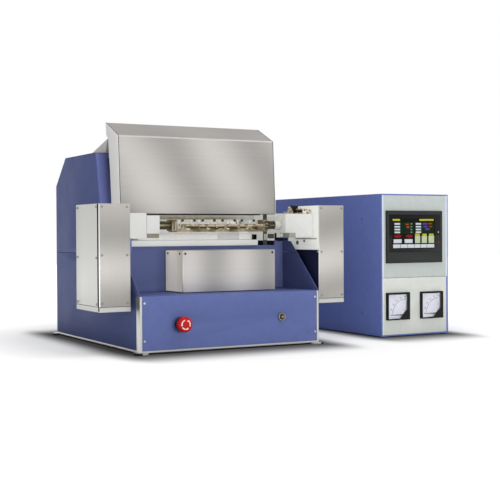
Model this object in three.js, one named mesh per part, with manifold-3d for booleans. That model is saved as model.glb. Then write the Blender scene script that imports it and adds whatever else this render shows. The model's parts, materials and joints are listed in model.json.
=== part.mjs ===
// A bench furnace that fuses four glass beads at a time, with its free-standing control cabinet.
// Millimetres, X to the right, Y to the back, Z up. The pieces are placed from the lower front left
// corner of the furnace body, and the group then moves that corner so that the origin lies on the
// floor, in the middle of the whole.

import * as THREE from 'three';
import { mergeVertices } from 'three/addons/utils/BufferGeometryUtils.js';
import Module from 'manifold-3d';

const wasm = await Module();
wasm.setup();

// Clearances and cutters
const fit = 0.3;
const running = 0.5;
const overrun = 2;
const roundSides = 28;
const smallSides = 12;
const smallRadius = 6;
const sheet = 1.5;

// Furnace body
const bodyWidth = 520;
const bodyDepth = 630;
const footHeight = 4;
const footRadius = 19;
const footInset = 5;
const baseThickness = 5.4;
const postWidth = 5.5;
const postDepth = 24;
const lowerFrontHeight = 135;
const cheekSetback = 2.4;
const cheekLip = 3.2;
const cheekRun = 139.6;
const cheekDrop = 2.5;
const seamDrop = 19.2;
const seamGap = 0.8;
const wallFront = 185;
const wallHeight = 120.8;
const riserWidth = 28;
const riserHeight = 13.8;
const riserRound = 8;

// Tower behind the hood
const towerHeadRoom = 8;
const towerLean = 31;
const towerTuck = 12;
const towerSlotRoom = 2;
const towerSlotTail = 5;
const towerChamferDepth = 85;
const towerChamferDrop = 79;
const towerMouthRoom = 10;
const towerMouthSide = 4;
const towerSlitWidth = 8;
const towerSlitDrop = 56;
const towerSlitInset = 36;
const wedgeLean = 16;
const wedgeRise = 37.3;
const wedgeDepth = 124.6;
const wedgeInset = 30;

// Hood
const hoodInset = 23;
const hoodRoom = 1.5;
const hoodLean = 12;
const hoodShoulderDrop = 13;
const hoodSlopeDepth = 87;
const hoodSlopeRise = 41;
const hoodLip = 15;

// Deck, hearth and heating chamber
const deckOverhang = 5;
const deckThickness = 15.5;
const deckLeftInset = 30;
const deckRightInset = 85;
const trayRise = 1;
const trayThickness = 2.7;
const trayTail = 30;
const hearthInset = 82;
const hearthSetback = 3;
const hearthRise = 9;
const sillReach = 29;
const sillBond = 4;
const sillRise = 17;
const sillRightInset = 87;
const chamberSetback = 11;
const chamberDepth = 160;
const chamberWall = 30;
const chamberHeadRoom = 64;
const shaftSlotRoom = 5;
const roofSetback = 16;
const roofThickness = 45;
const elementRadius = 7;
const elementDrop = 15;
const elementSetback = 50;
const elementPitch = 50;
const elementOverhang = 22;

// Drive for the arms, behind the recessed wall and under the front cover
const coverLeftInset = 153.5;
const coverRightInset = 89.5;
const coverReach = 106;
const coverRoom = 2.1;
const coverDrop = 10.2;
const tubeRadius = 18;
const tubeReach = 93;
const tubeTail = 145;
const tubeDrop = 38;
const tubeEndWall = 5;
const rodRadius = 8;
const railInset = 62;
const railHeadWidth = 16;
const railWebWidth = 8;
const railHeadHeight = 12;
const railDrop = 14;
const railSetback = 7;
const railTail = 30;

// Carriage: a yoke through the side slots, and an arm on each side
const armGap = 16;
const armWidth = 82;
const armFront = 21;
const armDepth = 162;
const armDrop = 36.4;
const armHeadRoom = 53;
const armWall = 2;
const armLip = 12.5;
const armReturn = 8;
const armCoverGap = 2;
const armTravel = 220;
const yokeSetback = 18;
const yokeDepth = 30;
const yokeDrop = 18;
const yokeHeight = 16;
const yokePlateOffset = 6;
const yokePlateThickness = 6;
const yokePlateReach = 83;
const yokeSpacerDepth = 45;
const yokeSlotRoom = 5;
const yokePadWidth = 24;
const yokePadReach = 8;
const tailWidth = 20;
const tailThickness = 12;
const lugThickness = 10;

// Bearing blocks on the arms, with their heights from the shaft
const blockSetback = 29;
const blockDepth = 50;
const blockBelow = 34;
const blockAbove = 30.5;
const leftBlockReach = 41;
const rightBlockReach = 72;
const noseLength = 36;
const noseBelow = 21.5;
const noseAbove = 24.5;
const noseDepth = 60;
const heelDepth = 52;
const clampBelow = 32.5;
const clampInset = 4;
const flangeThickness = 6;
const flangeBelow = 68;
const flangeSetback = 5;
const flangeTail = 42;
const sensorWidth = 35;
const sensorSetback = 4;
const sensorDepth = 46;
const sensorAbove = 50;

// Cradle for the four crucibles, which turns about a shaft across the furnace
const axisSetback = 32;
const axisRise = 23;
const shaftRadius = 10;
const shaftRibRadius = 11.5;
const shaftRibWidth = 3;
const shaftRibPitch = 8;
const shaftRibCount = 4;
const cradleInset = 118;
const cradleEndBlock = 14;
const cradleEndDepth = 32;
const cradleEndBelow = 15;
const cradleEndAbove = 14;
const cradleHalfDepth = 25;
const cradleRail = 5;
const cradleRailBelow = 17.5;
const cradleRailAbove = 3;
const crossThickness = 7;
const seatCount = 4;
const seatEndRoom = 11;
const seatWeb = 17.5;
const seatSlotWeb = 24.5;
const seatSlotBelow = 11;
const postRadius = 2.5;
const postSpacing = 23;
const postAbove = 15;
const motorSize = 57;
const motorSetback = 34;
const motorRoom = 40;
const standoffRadius = 4;
const rightShaftTail = 40;

// Furnace door and its lift
const doorSetback = 22;
const doorThickness = 22;
const doorAbove = 17;
const doorHeight = 102;
const carrierThickness = 5;
const carrierDrop = 15;
const carrierHeight = 31;
const guideInset = 62;
const guideSetback = 16;
const guideRadius = 6;
const guideBossRadius = 11;
const guideBelow = 47;
const guideAbove = 46;
const guideArm = 8;
const guideHeadHeight = 10;
const guideArmWidth = 16;
const guideBarSetback = 17;
const guideBarDepth = 10;
const guideFrontReach = 22;
const liftTubeRadius = 11;
const liftTubeBelow = 22;
const liftTubeAbove = 70;
const liftRodRadius = 5;
const liftRodAbove = 20;
const liftLugHeight = 8;
const liftLugReach = 6;
const liftArmWidth = 16;

// Emergency stop and push button on the lower front panel
const stopX = 109.4;
const stopZ = 73;
const stopHeadRadius = 20;
const stopHeadRound = 6;
const stopHeadDepth = 18;
const stopHeadRear = 14;
const stopStemRadius = 5;
const stopStemSocket = 6;
const stopStemTail = 10;
const stopFlangeRadius = 15;
const stopFlangeDepth = 8;
const stopBarrelRadius = 11;
const stopBarrelRear = 24;
const buttonInset = 116;
const buttonZ = 78.4;
const bezelRadius = 11.5;
const bezelDepth = 4;
const bezelBarrelRadius = 8;
const bezelBarrelRear = 25;
const buttonRadius = 6.5;
const buttonProud = 2;
const buttonTail = 18;

// Control cabinet
const cabinetGap = 237;
const cabinetWidth = 241;
const cabinetFront = 40;
const cabinetDepth = 592;
const cabinetHeight = 409;
const cabinetWall = 3.5;
const cabinetFoot = 3;
const cabinetFootRadius = 12;
const cabinetFootInset = 25;
const panelThickness = 2;

// Screen and meters: the room between them grows and shrinks with the cabinet
const roomUnderMeters = 49;
const roomOverMeters = 84;
const roomOverScreen = 48;
const screenBodyHeight = 150;
const screenLeftInset = 15;
const screenRightInset = 26.5;
const screenBodyProud = 7;
const screenRebateDepth = 1.2;
const screenRebateSide = 8;
const screenRebateLow = 31;
const screenRebateHigh = 11;
const screenCutInset = 10;
const screenBodyTail = 35;
const meterHeight = 78;
const meterLeftInset = 15;
const meterRightInset = 27;
const meterBetween = 43;
const meterProud = 11;
const meterCover = 2;
const meterDialGap = 5;
const meterRim = 2;
const meterDrumRadius = 30.5;
const meterDrumRear = 38;
const meterWindowShares = [[0.04, 0.93], [0.89, 0.93], [0.88, 0.375], [0.56, 0.05], [0.04, 0.045]];
const needleTipRoom = 14;
const needleWidth = 1.2;
const needleThickness = 0.8;
const needleHubRadius = 3.5;
const needleHubDepth = 2.4;
const needlePinRadius = 1.5;
const needlePinDepth = 3.2;
const needlePivotRight = 13;
const needlePivotUp = 14;

// Inside and behind the cabinet
const fanDrop = 109;
const fanOpening = 38.5;
const fanFrameSide = 84;
const fanFrameDepth = 30;
const fanHubRadius = 15;
const fanHubDepth = 16;
const fanHubSetback = 6;
const fanBladeCount = 7;
const fanBladeTip = 36;
const fanBladeChord = 13;
const fanBladeThickness = 2;
const fanBladePitch = Math.PI / 6;
const fanSpiderDepth = 5;
const fanSpiderBar = 6;
const glandRadius = 12;
const glandNutRadius = 16;
const glandNutDepth = 6;
const glandLength = 18;
const glandRise = 60;
const glandSpacing = 60;
const transformerWidth = 130;
const transformerDepth = 110;
const transformerHeight = 120;
const transformerSetback = 160;
const transformerYoke = 22;
const transformerLeg = 24;
const coilOut = 12;
const controllerWidth = 120;
const controllerDepth = 130;
const controllerHeight = 110;
const controllerSetback = 40;
const finCount = 9;
const finThickness = 3;
const finHeight = 40;

// Ventilation slots in the rear cover
const ventCount = 8;
const ventWidth = 160;
const ventHeight = 5;
const ventPitch = 14;
const ventDrop = 141;

// Heights, from the floor up
const baseTop = footHeight + baseThickness;
const shelfTop = baseTop + lowerFrontHeight;
const wallTop = shelfTop + wallHeight;
const riserTop = wallTop + riserHeight;
const cheekTop = riserTop - cheekDrop;
const seamHeight = wallTop - seamDrop;
const deckBottom = wallTop + fit;
const deckTop = deckBottom + deckThickness;
const trayBottom = seamHeight + trayRise;
const trayTop = trayBottom + trayThickness;
const hearthTop = deckTop + hearthRise;
const sillTop = deckTop + sillRise;
const axisZ = sillTop + axisRise;
const chamberTop = axisZ + chamberHeadRoom;
const roofTop = chamberTop + roofThickness;
const elementHeight = chamberTop - elementDrop;
const coverBottom = shelfTop + coverRoom;
const coverTop = wallTop - coverDrop;
const yokeBottom = seamHeight - yokeDrop;
const yokeTop = yokeBottom + yokeHeight;
const tubeHeight = yokeBottom - tubeDrop;
const railTop = yokeBottom - railDrop;
const armBottom = shelfTop - armDrop;
const armTop = axisZ + armHeadRoom;
const blockBottom = axisZ - blockBelow;
const blockTop = axisZ + blockAbove;
const noseBottom = axisZ - noseBelow;
const noseTop = axisZ + noseAbove;
const clampBottom = axisZ - clampBelow;
const flangeBottom = axisZ - flangeBelow;
const sensorTop = axisZ + sensorAbove;
const cradleEndBottom = axisZ - cradleEndBelow;
const cradleEndTop = axisZ + cradleEndAbove;
const cradleRailBottom = axisZ - cradleRailBelow;
const cradleRailTop = axisZ + cradleRailAbove;
const crossBottom = axisZ - crossThickness;
const crossTop = axisZ;
const seatSlotLow = axisZ - seatSlotBelow;
const postTop = axisZ + postAbove;
const doorBottom = axisZ + doorAbove;
const doorTop = doorBottom + doorHeight;
const carrierBottom = doorTop - carrierDrop;
const carrierTop = carrierBottom + carrierHeight;
const guideFoot = carrierBottom - guideBelow;
const guideHead = carrierTop + guideAbove;
const guideTop = guideHead + guideHeadHeight;
const liftTubeBottom = guideHead - liftTubeBelow;
const liftTubeTop = guideHead + liftTubeAbove;
const liftRodTop = guideHead + liftRodAbove;
const towerSlotTop = armTop + towerSlotRoom;
const towerMouthTop = roofTop + towerMouthRoom;
const towerTop = guideTop + towerHeadRoom;
const towerSlitLow = towerTop - towerSlitDrop;
const rearTop = towerTop - towerChamferDrop;
const ventLow = rearTop - ventDrop;
const hoodBottom = blockTop + hoodRoom;
const hoodShoulder = liftTubeTop - hoodShoulderDrop;
const hoodTop = hoodShoulder + hoodSlopeRise;
const gapScale = (cabinetHeight - screenBodyHeight - meterHeight)
  / (roomUnderMeters + roomOverMeters + roomOverScreen);
const meterBottom = roomUnderMeters * gapScale;
const cabinetSeam = meterBottom + meterHeight + roomOverMeters * gapScale / 2;
const screenBodyBottom = cabinetSeam + roomOverMeters * gapScale / 2;
const fanRise = cabinetHeight - fanDrop;

// Depths, from the front back
const armRear = armFront + armDepth;
const blockFront = armFront + blockSetback;
const blockRear = blockFront + blockDepth;
const axisY = blockFront + axisSetback;
const coverFront = wallFront - coverReach;
const tubeFront = wallFront - tubeReach;
const tubeRear = wallFront + tubeTail;
const lugFront = tubeRear + lugThickness / 2;
const railFront = wallFront + railSetback;
const railRear = bodyDepth - railTail;
const yokeFront = wallFront + yokeSetback;
const yokeRear = yokeFront + yokeDepth;
const yokePlateFront = yokeFront - yokePlateReach;
const deckFront = wallFront - deckOverhang;
const hoodFrontLow = wallFront;
const hoodFrontHigh = hoodFrontLow + hoodLean;
const hoodBack = hoodFrontHigh + hoodSlopeDepth;
const doorFront = hoodFrontLow + doorSetback;
const doorBack = doorFront + doorThickness;
const guideY = doorBack + guideSetback;
const guideBarFront = guideY + guideBarSetback;
const hearthFront = doorBack + hearthSetback;
const deckBack = hearthFront - fit;
const sillFront = hearthFront - sillReach;
const sillBack = hearthFront + sillBond;
const chamberFront = doorBack + chamberSetback;
const chamberRear = chamberFront + chamberDepth;
const trayRear = chamberRear + trayTail;
const roofFront = chamberFront + roofSetback;
const elementFirst = chamberFront + elementSetback;
const towerFrontBottom = hoodBack - towerTuck;
const towerFrontTop = towerFrontBottom + towerLean;
const towerSlotRear = armRear + armTravel + towerSlotTail;
const towerTopRear = bodyDepth - towerChamferDepth;
const wedgeRidge = towerFrontTop - wedgeLean;
const cabinetRear = cabinetFront + cabinetDepth;
const transformerFront = cabinetFront + transformerSetback;
const controllerFront = transformerFront + transformerDepth + controllerSetback;
const frontmost = -stopHeadRear - stopHeadDepth;
const rearmost = cabinetRear + glandLength;

// Across, from left to right
const armOuter = -armGap - armWidth;
const motorFace = armGap + motorSetback;
const motorLength = armWidth - motorRoom;
const middle = bodyWidth / 2;
const hearthRight = bodyWidth - hearthInset;
const noseInner = leftBlockReach + noseLength;
const cradleLeft = cradleInset;
const cradleRight = bodyWidth - cradleInset;
const seatPitch = (cradleRight - cradleLeft - 2 * (cradleEndBlock + seatEndRoom)) / seatCount;
const seatRadius = (seatPitch - seatWeb) / 2;
const seatSlotLength = seatPitch - seatSlotWeb;
const rightShaftEnd = bodyWidth + rightShaftTail;
const buttonX = bodyWidth - buttonInset;
const cabinetLeft = bodyWidth + cabinetGap;
const cabinetRight = cabinetLeft + cabinetWidth;
const screenBodyWidth = cabinetWidth - screenLeftInset - screenRightInset;
const meterWidth = (cabinetWidth - meterLeftInset - meterRightInset - meterBetween) / 2;
const needleLength = meterWidth - needlePivotRight - needleTipRoom;

// Materials
const bluePaint = paint(0x5a6499, 0.45);
const stainless = metal(0xbebcb8, 0.35);
const silverTrim = metal(0xd2d3d4, 0.4);
const lightPaint = paint(0xc8cbc6, 0.5);
const whiteCeramic = paint(0xdadad6, 0.8);
const steel = metal(0x8e9094, 0.4);
const heatTinted = metal(0x8a7a5c, 0.4);
const brass = metal(0xb59a5a, 0.35);
const blackPlastic = paint(0x202124, 0.5);
const screenPlastic = paint(0x414146, 0.45);
const redPlastic = paint(0xd7191e, 0.4);
const copper = metal(0xa86b3c, 0.4);
const glowRod = paint(0x4b4744, 0.8);

function paint(color, roughness) {
  return new THREE.MeshStandardMaterial({ color, roughness, metalness: 0 });
}

function metal(color, roughness) {
  return new THREE.MeshStandardMaterial({ color, roughness, metalness: 1 });
}

// A three.js geometry as a solid: only its positions, with the points that coincide merged.
function solid(geometry) {
  const bare = geometry.clone();
  bare.deleteAttribute('normal');
  bare.deleteAttribute('uv');
  const merged = mergeVertices(bare);
  const corners = [];
  const index = merged.index.array;
  for (let i = 0; i < index.length; i += 3) {
    const [a, b, c] = [index[i], index[i + 1], index[i + 2]];
    if (a !== b && b !== c && c !== a) corners.push(a, b, c);
  }
  return new wasm.Manifold(new wasm.Mesh({
    numProp: 3,
    vertProperties: new Float32Array(merged.attributes.position.array),
    triVerts: new Uint32Array(corners),
  }));
}

// The plain shapes that the pieces are made of
function block([x0, x1], [y0, y1], [z0, z1]) {
  const geometry = new THREE.BoxGeometry(x1 - x0, y1 - y0, z1 - z0);
  geometry.translate((x0 + x1) / 2, (y0 + y1) / 2, (z0 + z1) / 2);
  return solid(geometry);
}

function around(centre, width) {
  return [centre - width / 2, centre + width / 2];
}

function extrude(outline, length) {
  const shape = new THREE.Shape(outline.map(([a, b]) => new THREE.Vector2(a, b)));
  return new THREE.ExtrudeGeometry(shape, { depth: length, bevelEnabled: false });
}

// An outline of [y, z] points drawn out along X
function prismX(outline, [x0, x1]) {
  const geometry = extrude(outline, x1 - x0);
  const turn = new THREE.Matrix4().makeBasis(
    new THREE.Vector3(0, 1, 0), new THREE.Vector3(0, 0, 1), new THREE.Vector3(1, 0, 0));
  geometry.applyMatrix4(turn);
  geometry.translate(x0, 0, 0);
  return solid(geometry);
}

// An outline of [x, z] points drawn out along Y
function prismY(outline, [y0, y1]) {
  const geometry = extrude(outline, y1 - y0);
  geometry.rotateX(Math.PI / 2);
  geometry.translate(0, y1, 0);
  return solid(geometry);
}

function sidesFor(radius) {
  return radius > smallRadius ? roundSides : smallSides;
}

function rodX([x0, x1], y, z, radius) {
  const geometry = new THREE.CylinderGeometry(radius, radius, x1 - x0, sidesFor(radius));
  geometry.rotateZ(Math.PI / 2);
  geometry.translate((x0 + x1) / 2, y, z);
  return solid(geometry);
}

function rodY([y0, y1], x, z, radius, sides = sidesFor(radius)) {
  const geometry = new THREE.CylinderGeometry(radius, radius, y1 - y0, sides);
  geometry.translate(x, (y0 + y1) / 2, z);
  return solid(geometry);
}

function rodZ([z0, z1], x, y, radius) {
  const geometry = new THREE.CylinderGeometry(radius, radius, z1 - z0, sidesFor(radius));
  geometry.rotateX(Math.PI / 2);
  geometry.translate(x, y, (z0 + z1) / 2);
  return solid(geometry);
}

// A profile of [radius, y] points turned about an axis along Y
function turnedY(profile, x, z) {
  const geometry = new THREE.LatheGeometry(profile.map(([r, y]) => new THREE.Vector2(r, y)), roundSides);
  geometry.translate(x, 0, z);
  return solid(geometry);
}

// The line moved to its left by a distance, with mitred corners
function offsetLine(points, distance) {
  const normals = points.slice(1).map(([a, b], i) => {
    const [da, db] = [a - points[i][0], b - points[i][1]];
    const length = Math.hypot(da, db);
    return [-db / length, da / length];
  });
  return points.map(([a, b], i) => {
    const before = normals[Math.max(i - 1, 0)];
    const after = normals[Math.min(i, normals.length - 1)];
    const mitre = distance / (1 + before[0] * after[0] + before[1] * after[1]);
    return [a + (before[0] + after[0]) * mitre, b + (before[1] + after[1]) * mitre];
  });
}

// The outline of a sheet that is bent along a line
function bentSheet(points, thickness) {
  return [...points, ...offsetLine(points, thickness).reverse()];
}

function arc(centreA, centreB, radius, from, to, steps) {
  const points = [];
  for (let i = 0; i <= steps; i += 1) {
    const angle = from + (to - from) * i / steps;
    points.push([centreA + radius * Math.cos(angle), centreB + radius * Math.sin(angle)]);
  }
  return points;
}

function joined(first, ...others) {
  return others.reduce((whole, other) => whole.add(other), first);
}

function cut(first, ...others) {
  return others.reduce((whole, other) => whole.subtract(other), first);
}

// Left is the side as drawn, right is its mirror image in the furnace's middle plane
const sides = { left: (x) => x, right: (x) => bodyWidth - x };

function span(side, a, b) {
  const ends = [sides[side](a), sides[side](b)];
  return [Math.min(...ends), Math.max(...ends)];
}

const furnace = new THREE.Group();

function place(name, manifold, material) {
  const data = manifold.getMesh();
  const geometry = new THREE.BufferGeometry();
  geometry.setAttribute('position', new THREE.BufferAttribute(new Float32Array(data.vertProperties), 3));
  geometry.setIndex(new THREE.BufferAttribute(new Uint32Array(data.triVerts), 1));
  geometry.computeVertexNormals();
  const mesh = new THREE.Mesh(geometry, material);
  mesh.name = name;
  furnace.add(mesh);
}

// Where the cheek's sloped edge and the tower's leaning front lie at a height
function cheekEdge(z) {
  const lipTop = shelfTop + cheekLip;
  return cheekSetback + cheekRun * (z - lipTop) / (cheekTop - lipTop);
}

function towerFront(z) {
  return towerFrontBottom + towerLean * (z - towerSlotTop) / (towerTop - towerSlotTop);
}

// Base sheet with its foot pads and the two front corner posts
function baseFrame() {
  let frame = block([0, bodyWidth], [0, bodyDepth], [footHeight, baseTop]);
  for (const x of [footInset, bodyWidth - footInset]) {
    for (const y of [footInset, bodyDepth - footInset]) {
      frame = frame.add(rodZ([0, footHeight + overrun], x, y, footRadius));
    }
  }
  for (const side of ['left', 'right']) {
    frame = frame.add(block(span(side, 0, postWidth), [0, postDepth], [baseTop - overrun, shelfTop - fit]));
  }
  place('base_frame', frame, silverTrim);
}

// One bent sheet: the upright front, then the shelf back to the recessed wall
function lowerFrontPanel() {
  const edge = [wallFront - fit, shelfTop];
  const line = [edge, [0, shelfTop], [0, baseTop + fit]];
  const upright = prismX(bentSheet(line, sheet), [postWidth + fit, bodyWidth - postWidth - fit]);
  const shelf = block([sheet + fit, bodyWidth - sheet - fit], [postDepth + fit, edge[0]],
    [shelfTop - sheet, shelfTop]);
  const holes = [
    rodY([-overrun, sheet + overrun], stopX, stopZ, stopBarrelRadius + fit),
    rodY([-overrun, sheet + overrun], buttonX, buttonZ, bezelBarrelRadius + fit),
  ];
  place('lower_front_panel', cut(joined(upright, shelf), ...holes), bluePaint);
}

// Each side is a lower and an upper sheet, and the yoke runs in the slot between them
function sidePanels() {
  const rear = bodyDepth - sheet - fit;
  const low = baseTop + fit;
  const lowerTop = seamHeight - seamGap / 2;
  const upperLow = seamHeight + seamGap / 2;
  const slotFront = yokeFront - yokeSlotRoom;
  const slotRear = yokeRear + armTravel + yokeSlotRoom;
  const lipTop = shelfTop + cheekLip;
  const lower = [
    [postDepth + fit, low], [rear, low], [rear, lowerTop],
    [slotRear, lowerTop], [slotRear, yokeBottom - overrun],
    [slotFront, yokeBottom - overrun], [slotFront, lowerTop],
    [cheekEdge(lowerTop), lowerTop], [cheekSetback, lipTop], [cheekSetback, shelfTop + fit],
    [postDepth + fit, shelfTop + fit],
  ];
  const roof = [[bodyDepth, rearTop], [towerTopRear, towerTop], [towerFrontTop, towerTop]];
  const roofLine = offsetLine(roof, sheet + fit);
  const chamferSlope = (towerTop - rearTop) / (bodyDepth - towerTopRear);
  const upper = [
    [cheekEdge(upperLow), upperLow], [rear, upperLow],
    [rear, roofLine[0][1] + (roofLine[0][0] - rear) * chamferSlope], roofLine[1],
    [towerFront(roofLine[2][1]), roofLine[2][1]], [towerFrontBottom, towerSlotTop],
    [towerSlotRear, towerSlotTop], [towerSlotRear, cheekTop], [cheekSetback + cheekRun, cheekTop],
  ];
  for (const side of ['left', 'right']) {
    place(`${side}_lower_side_panel`, prismX(lower, span(side, 0, sheet)), bluePaint);
    place(`${side}_upper_side_panel`, prismX(upper, span(side, 0, sheet)), bluePaint);
  }
}

// The wall behind the shelf, with a riser with a rounded corner at each end
function recessedWall() {
  const [x0, x1] = [sheet + fit, bodyWidth - sheet - fit];
  const low = shelfTop + fit;
  const outline = [
    [x0, low], [x1, low], [x1, riserTop],
    ...arc(x1 - riserWidth + riserRound, riserTop - riserRound, riserRound, Math.PI / 2, Math.PI, 4),
    [x1 - riserWidth, wallTop], [x0 + riserWidth, wallTop],
    ...arc(x0 + riserWidth - riserRound, riserTop - riserRound, riserRound, 0, Math.PI / 2, 4),
    [x0, riserTop],
  ];
  const wall = prismY(outline, [wallFront, wallFront + sheet]);
  const hole = rodY([wallFront - overrun, wallFront + sheet + overrun], middle, tubeHeight, tubeRadius + fit);
  place('recessed_wall', wall.subtract(hole), bluePaint);
}

function driveCover() {
  const shell = cut(
    block([coverLeftInset, bodyWidth - coverRightInset], [coverFront, wallFront - fit],
      [coverBottom, coverTop]),
    block([coverLeftInset + sheet, bodyWidth - coverRightInset - sheet],
      [coverFront + sheet, wallFront + overrun], [coverBottom + sheet, coverTop - sheet]));
  place('drive_cover', shell, stainless);
}

// Tower: bent top sheet, leaning front with its mouth and its two slits, rear cover, stainless wedge
function tower() {
  const topLine = [[bodyDepth, rearTop], [towerTopRear, towerTop], [towerFrontTop, towerTop]];
  place('tower_top', prismX(bentSheet(topLine, sheet), [0, bodyWidth]), bluePaint);

  const high = towerTop - sheet - fit;
  const frontLine = [[towerFront(high), high], [towerFrontBottom, towerSlotTop]];
  let front = prismX(bentSheet(frontLine, sheet), [sheet + fit, bodyWidth - sheet - fit]);
  const reach = [towerFrontBottom - overrun, towerFrontTop + overrun];
  const mouth = [hearthInset - towerMouthSide, hearthRight + towerMouthSide];
  front = front.subtract(block(mouth, reach, [towerSlotTop - overrun, towerMouthTop]));
  for (const side of ['left', 'right']) {
    const slit = span(side, towerSlitInset, towerSlitInset + towerSlitWidth);
    front = front.subtract(block(slit, reach, [towerSlitLow, high - towerSlitWidth]));
  }
  place('tower_front_panel', front, bluePaint);

  const coverHigh = rearTop - sheet - fit;
  let rear = block([0, bodyWidth], [bodyDepth - sheet, bodyDepth], [baseTop + fit, coverHigh]);
  for (let i = 0; i < ventCount; i += 1) {
    const low = ventLow + i * ventPitch;
    rear = rear.subtract(block([middle - ventWidth / 2, middle + ventWidth / 2],
      [bodyDepth - sheet - overrun, bodyDepth + overrun], [low, low + ventHeight]));
  }
  for (const step of [1, 2]) {
    rear = rear.add(gland(bodyWidth - step * glandSpacing, bodyDepth));
  }
  place('rear_cover', rear, bluePaint);

  const foot = towerTop + fit;
  const ridge = [wedgeRidge, towerTop + wedgeRise];
  const wedge = [[towerFrontTop, foot], [towerFrontTop + wedgeDepth, foot], ridge];
  const ridgeLine = [wedge[1], wedge[2], wedge[0]];
  const inner = offsetLine(ridgeLine, sheet);
  const under = [[inner[2][0], foot - overrun], [inner[0][0], foot - overrun], ...inner];
  place('roof_wedge', cut(
    prismX(wedge, [wedgeInset, bodyWidth - wedgeInset]),
    prismX(under, [wedgeInset + sheet, bodyWidth - wedgeInset - sheet])), stainless);
}

// A cable gland on a rear face: a nut, then a shorter neck
function gland(x, face) {
  return joined(
    rodY([face - sheet, face + glandNutDepth], x, glandRise, glandNutRadius, 6),
    rodY([face, face + glandLength], x, glandRise, glandRadius));
}

// Hood: one bent sheet between two end plates
function hood() {
  const line = [[hoodBack, hoodTop], [hoodFrontHigh, hoodShoulder], [hoodFrontLow, hoodBottom],
    [hoodFrontLow + hoodLip, hoodBottom]];
  const inside = hoodInset + sheet + fit;
  place('hood_front', prismX(bentSheet(line, sheet), [inside, bodyWidth - inside]), stainless);
  const backShares = [[0.05, 0.858], [0.2, 0.81], [0.23, 0.692], [0.33, 0.421], [0.4, 0.117], [0.42, 0]];
  const depth = hoodBack - hoodFrontLow;
  const height = hoodTop - hoodBottom;
  const back = backShares.map(([a, b]) => [hoodBack - depth * a, hoodBottom + height * b]);
  const plate = [[hoodFrontLow, hoodBottom], [hoodFrontHigh, hoodShoulder], [hoodBack, hoodTop], ...back];
  for (const side of ['left', 'right']) {
    place(`hood_${side}_end`, prismX(plate, span(side, hoodInset, hoodInset + sheet)), stainless);
  }
}

// Deck board, tray, hearth with its sill, chamber walls slotted for the shafts, roof and elements
function chamber() {
  place('deck_board', block([deckLeftInset, bodyWidth - deckRightInset], [deckFront, deckBack],
    [deckBottom, deckTop]), whiteCeramic);
  place('hearth_tray', block([sheet + fit, bodyWidth - sheet - fit], [wallFront + sheet + fit, trayRear],
    [trayBottom, trayTop]), steel);
  place('hearth_block', joined(
    block([hearthInset, hearthRight], [hearthFront, chamberRear], [trayTop + fit, hearthTop]),
    block([hearthInset, bodyWidth - sillRightInset], [sillFront, sillBack],
      [deckTop + fit, sillTop])), whiteCeramic);

  const low = hearthTop + fit;
  const slotHalf = shaftRadius + shaftSlotRoom;
  let walls = cut(
    block([hearthInset, hearthRight], [chamberFront, chamberRear], [low, chamberTop]),
    block([hearthInset + chamberWall, hearthRight - chamberWall],
      [chamberFront - overrun, chamberRear - chamberWall], [low - overrun, chamberTop + overrun]),
    block([hearthInset - overrun, hearthRight + overrun],
      [chamberFront - overrun, axisY + armTravel + slotHalf], [axisZ - slotHalf, axisZ + slotHalf]));
  const reach = [hearthInset - elementOverhang, hearthRight + elementOverhang];
  ['front', 'rear'].forEach((position, i) => {
    const y = elementFirst + i * elementPitch;
    walls = walls.subtract(rodX(reach, y, elementHeight, elementRadius + fit));
    place(`${position}_heating_element`, rodX(reach, y, elementHeight, elementRadius), glowRod);
  });
  place('chamber_walls', walls, whiteCeramic);
  place('chamber_roof', block([hearthInset, hearthRight], [roofFront, chamberRear],
    [chamberTop + fit, roofTop]), whiteCeramic);
}

// The linear actuator that drives the yoke, and the two rails that carry it
function armDrive() {
  const tube = rodY([tubeFront, tubeRear], middle, tubeHeight, tubeRadius);
  const motor = block([middle + tubeRadius / 2, middle + tubeRadius / 2 + motorSize],
    [tubeFront, wallFront - overrun], around(tubeHeight, motorSize));
  const boreFront = tubeFront + tubeEndWall;
  const bore = rodY([boreFront, tubeRear + overrun], middle, tubeHeight, rodRadius + running);
  place('arm_actuator', joined(tube, motor).subtract(bore), steel);
  place('drive_rod', rodY([boreFront + running, lugFront - fit], middle, tubeHeight, rodRadius), steel);
  const headLow = railTop - railHeadHeight;
  for (const side of ['left', 'right']) {
    const centre = railInset + railHeadWidth / 2;
    const railY = [railFront, railRear];
    const web = block(span(side, ...around(centre, railWebWidth)), railY, [baseTop + fit, headLow + overrun]);
    const head = block(span(side, ...around(centre, railHeadWidth)), railY, [headLow, railTop]);
    place(`${side}_rail`, joined(web, head), steel);
  }
}

// The yoke joins both arms through the side slots, rides on the rails and is pushed at its tail
function carriageYoke() {
  const outer = -yokePlateOffset - yokePlateThickness;
  let yoke = block([outer, bodyWidth - outer], [yokeFront, yokeRear], [yokeBottom, yokeTop]);
  for (const side of ['left', 'right']) {
    const centre = railInset + railHeadWidth / 2;
    yoke = joined(yoke,
      block(span(side, outer, -yokePlateOffset), [yokePlateFront, yokeRear], [yokeBottom, yokeTop]),
      block(span(side, -armGap + fit, -yokePlateOffset), [yokePlateFront, yokePlateFront + yokeSpacerDepth],
        [yokeBottom, yokeTop]),
      block(span(side, ...around(centre, yokePadWidth)),
        [yokeFront - yokePadReach, yokeRear + yokePadReach], [railTop + running, yokeBottom + overrun]));
  }
  const tail = around(middle, tailWidth);
  yoke = joined(yoke,
    block(tail, [yokeRear - overrun, lugFront + lugThickness], [yokeBottom, yokeBottom + tailThickness]),
    block(tail, [lugFront, lugFront + lugThickness],
      [tubeHeight - tailThickness, yokeBottom + tailThickness]));
  place('carriage_yoke', yoke, steel);
}

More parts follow.
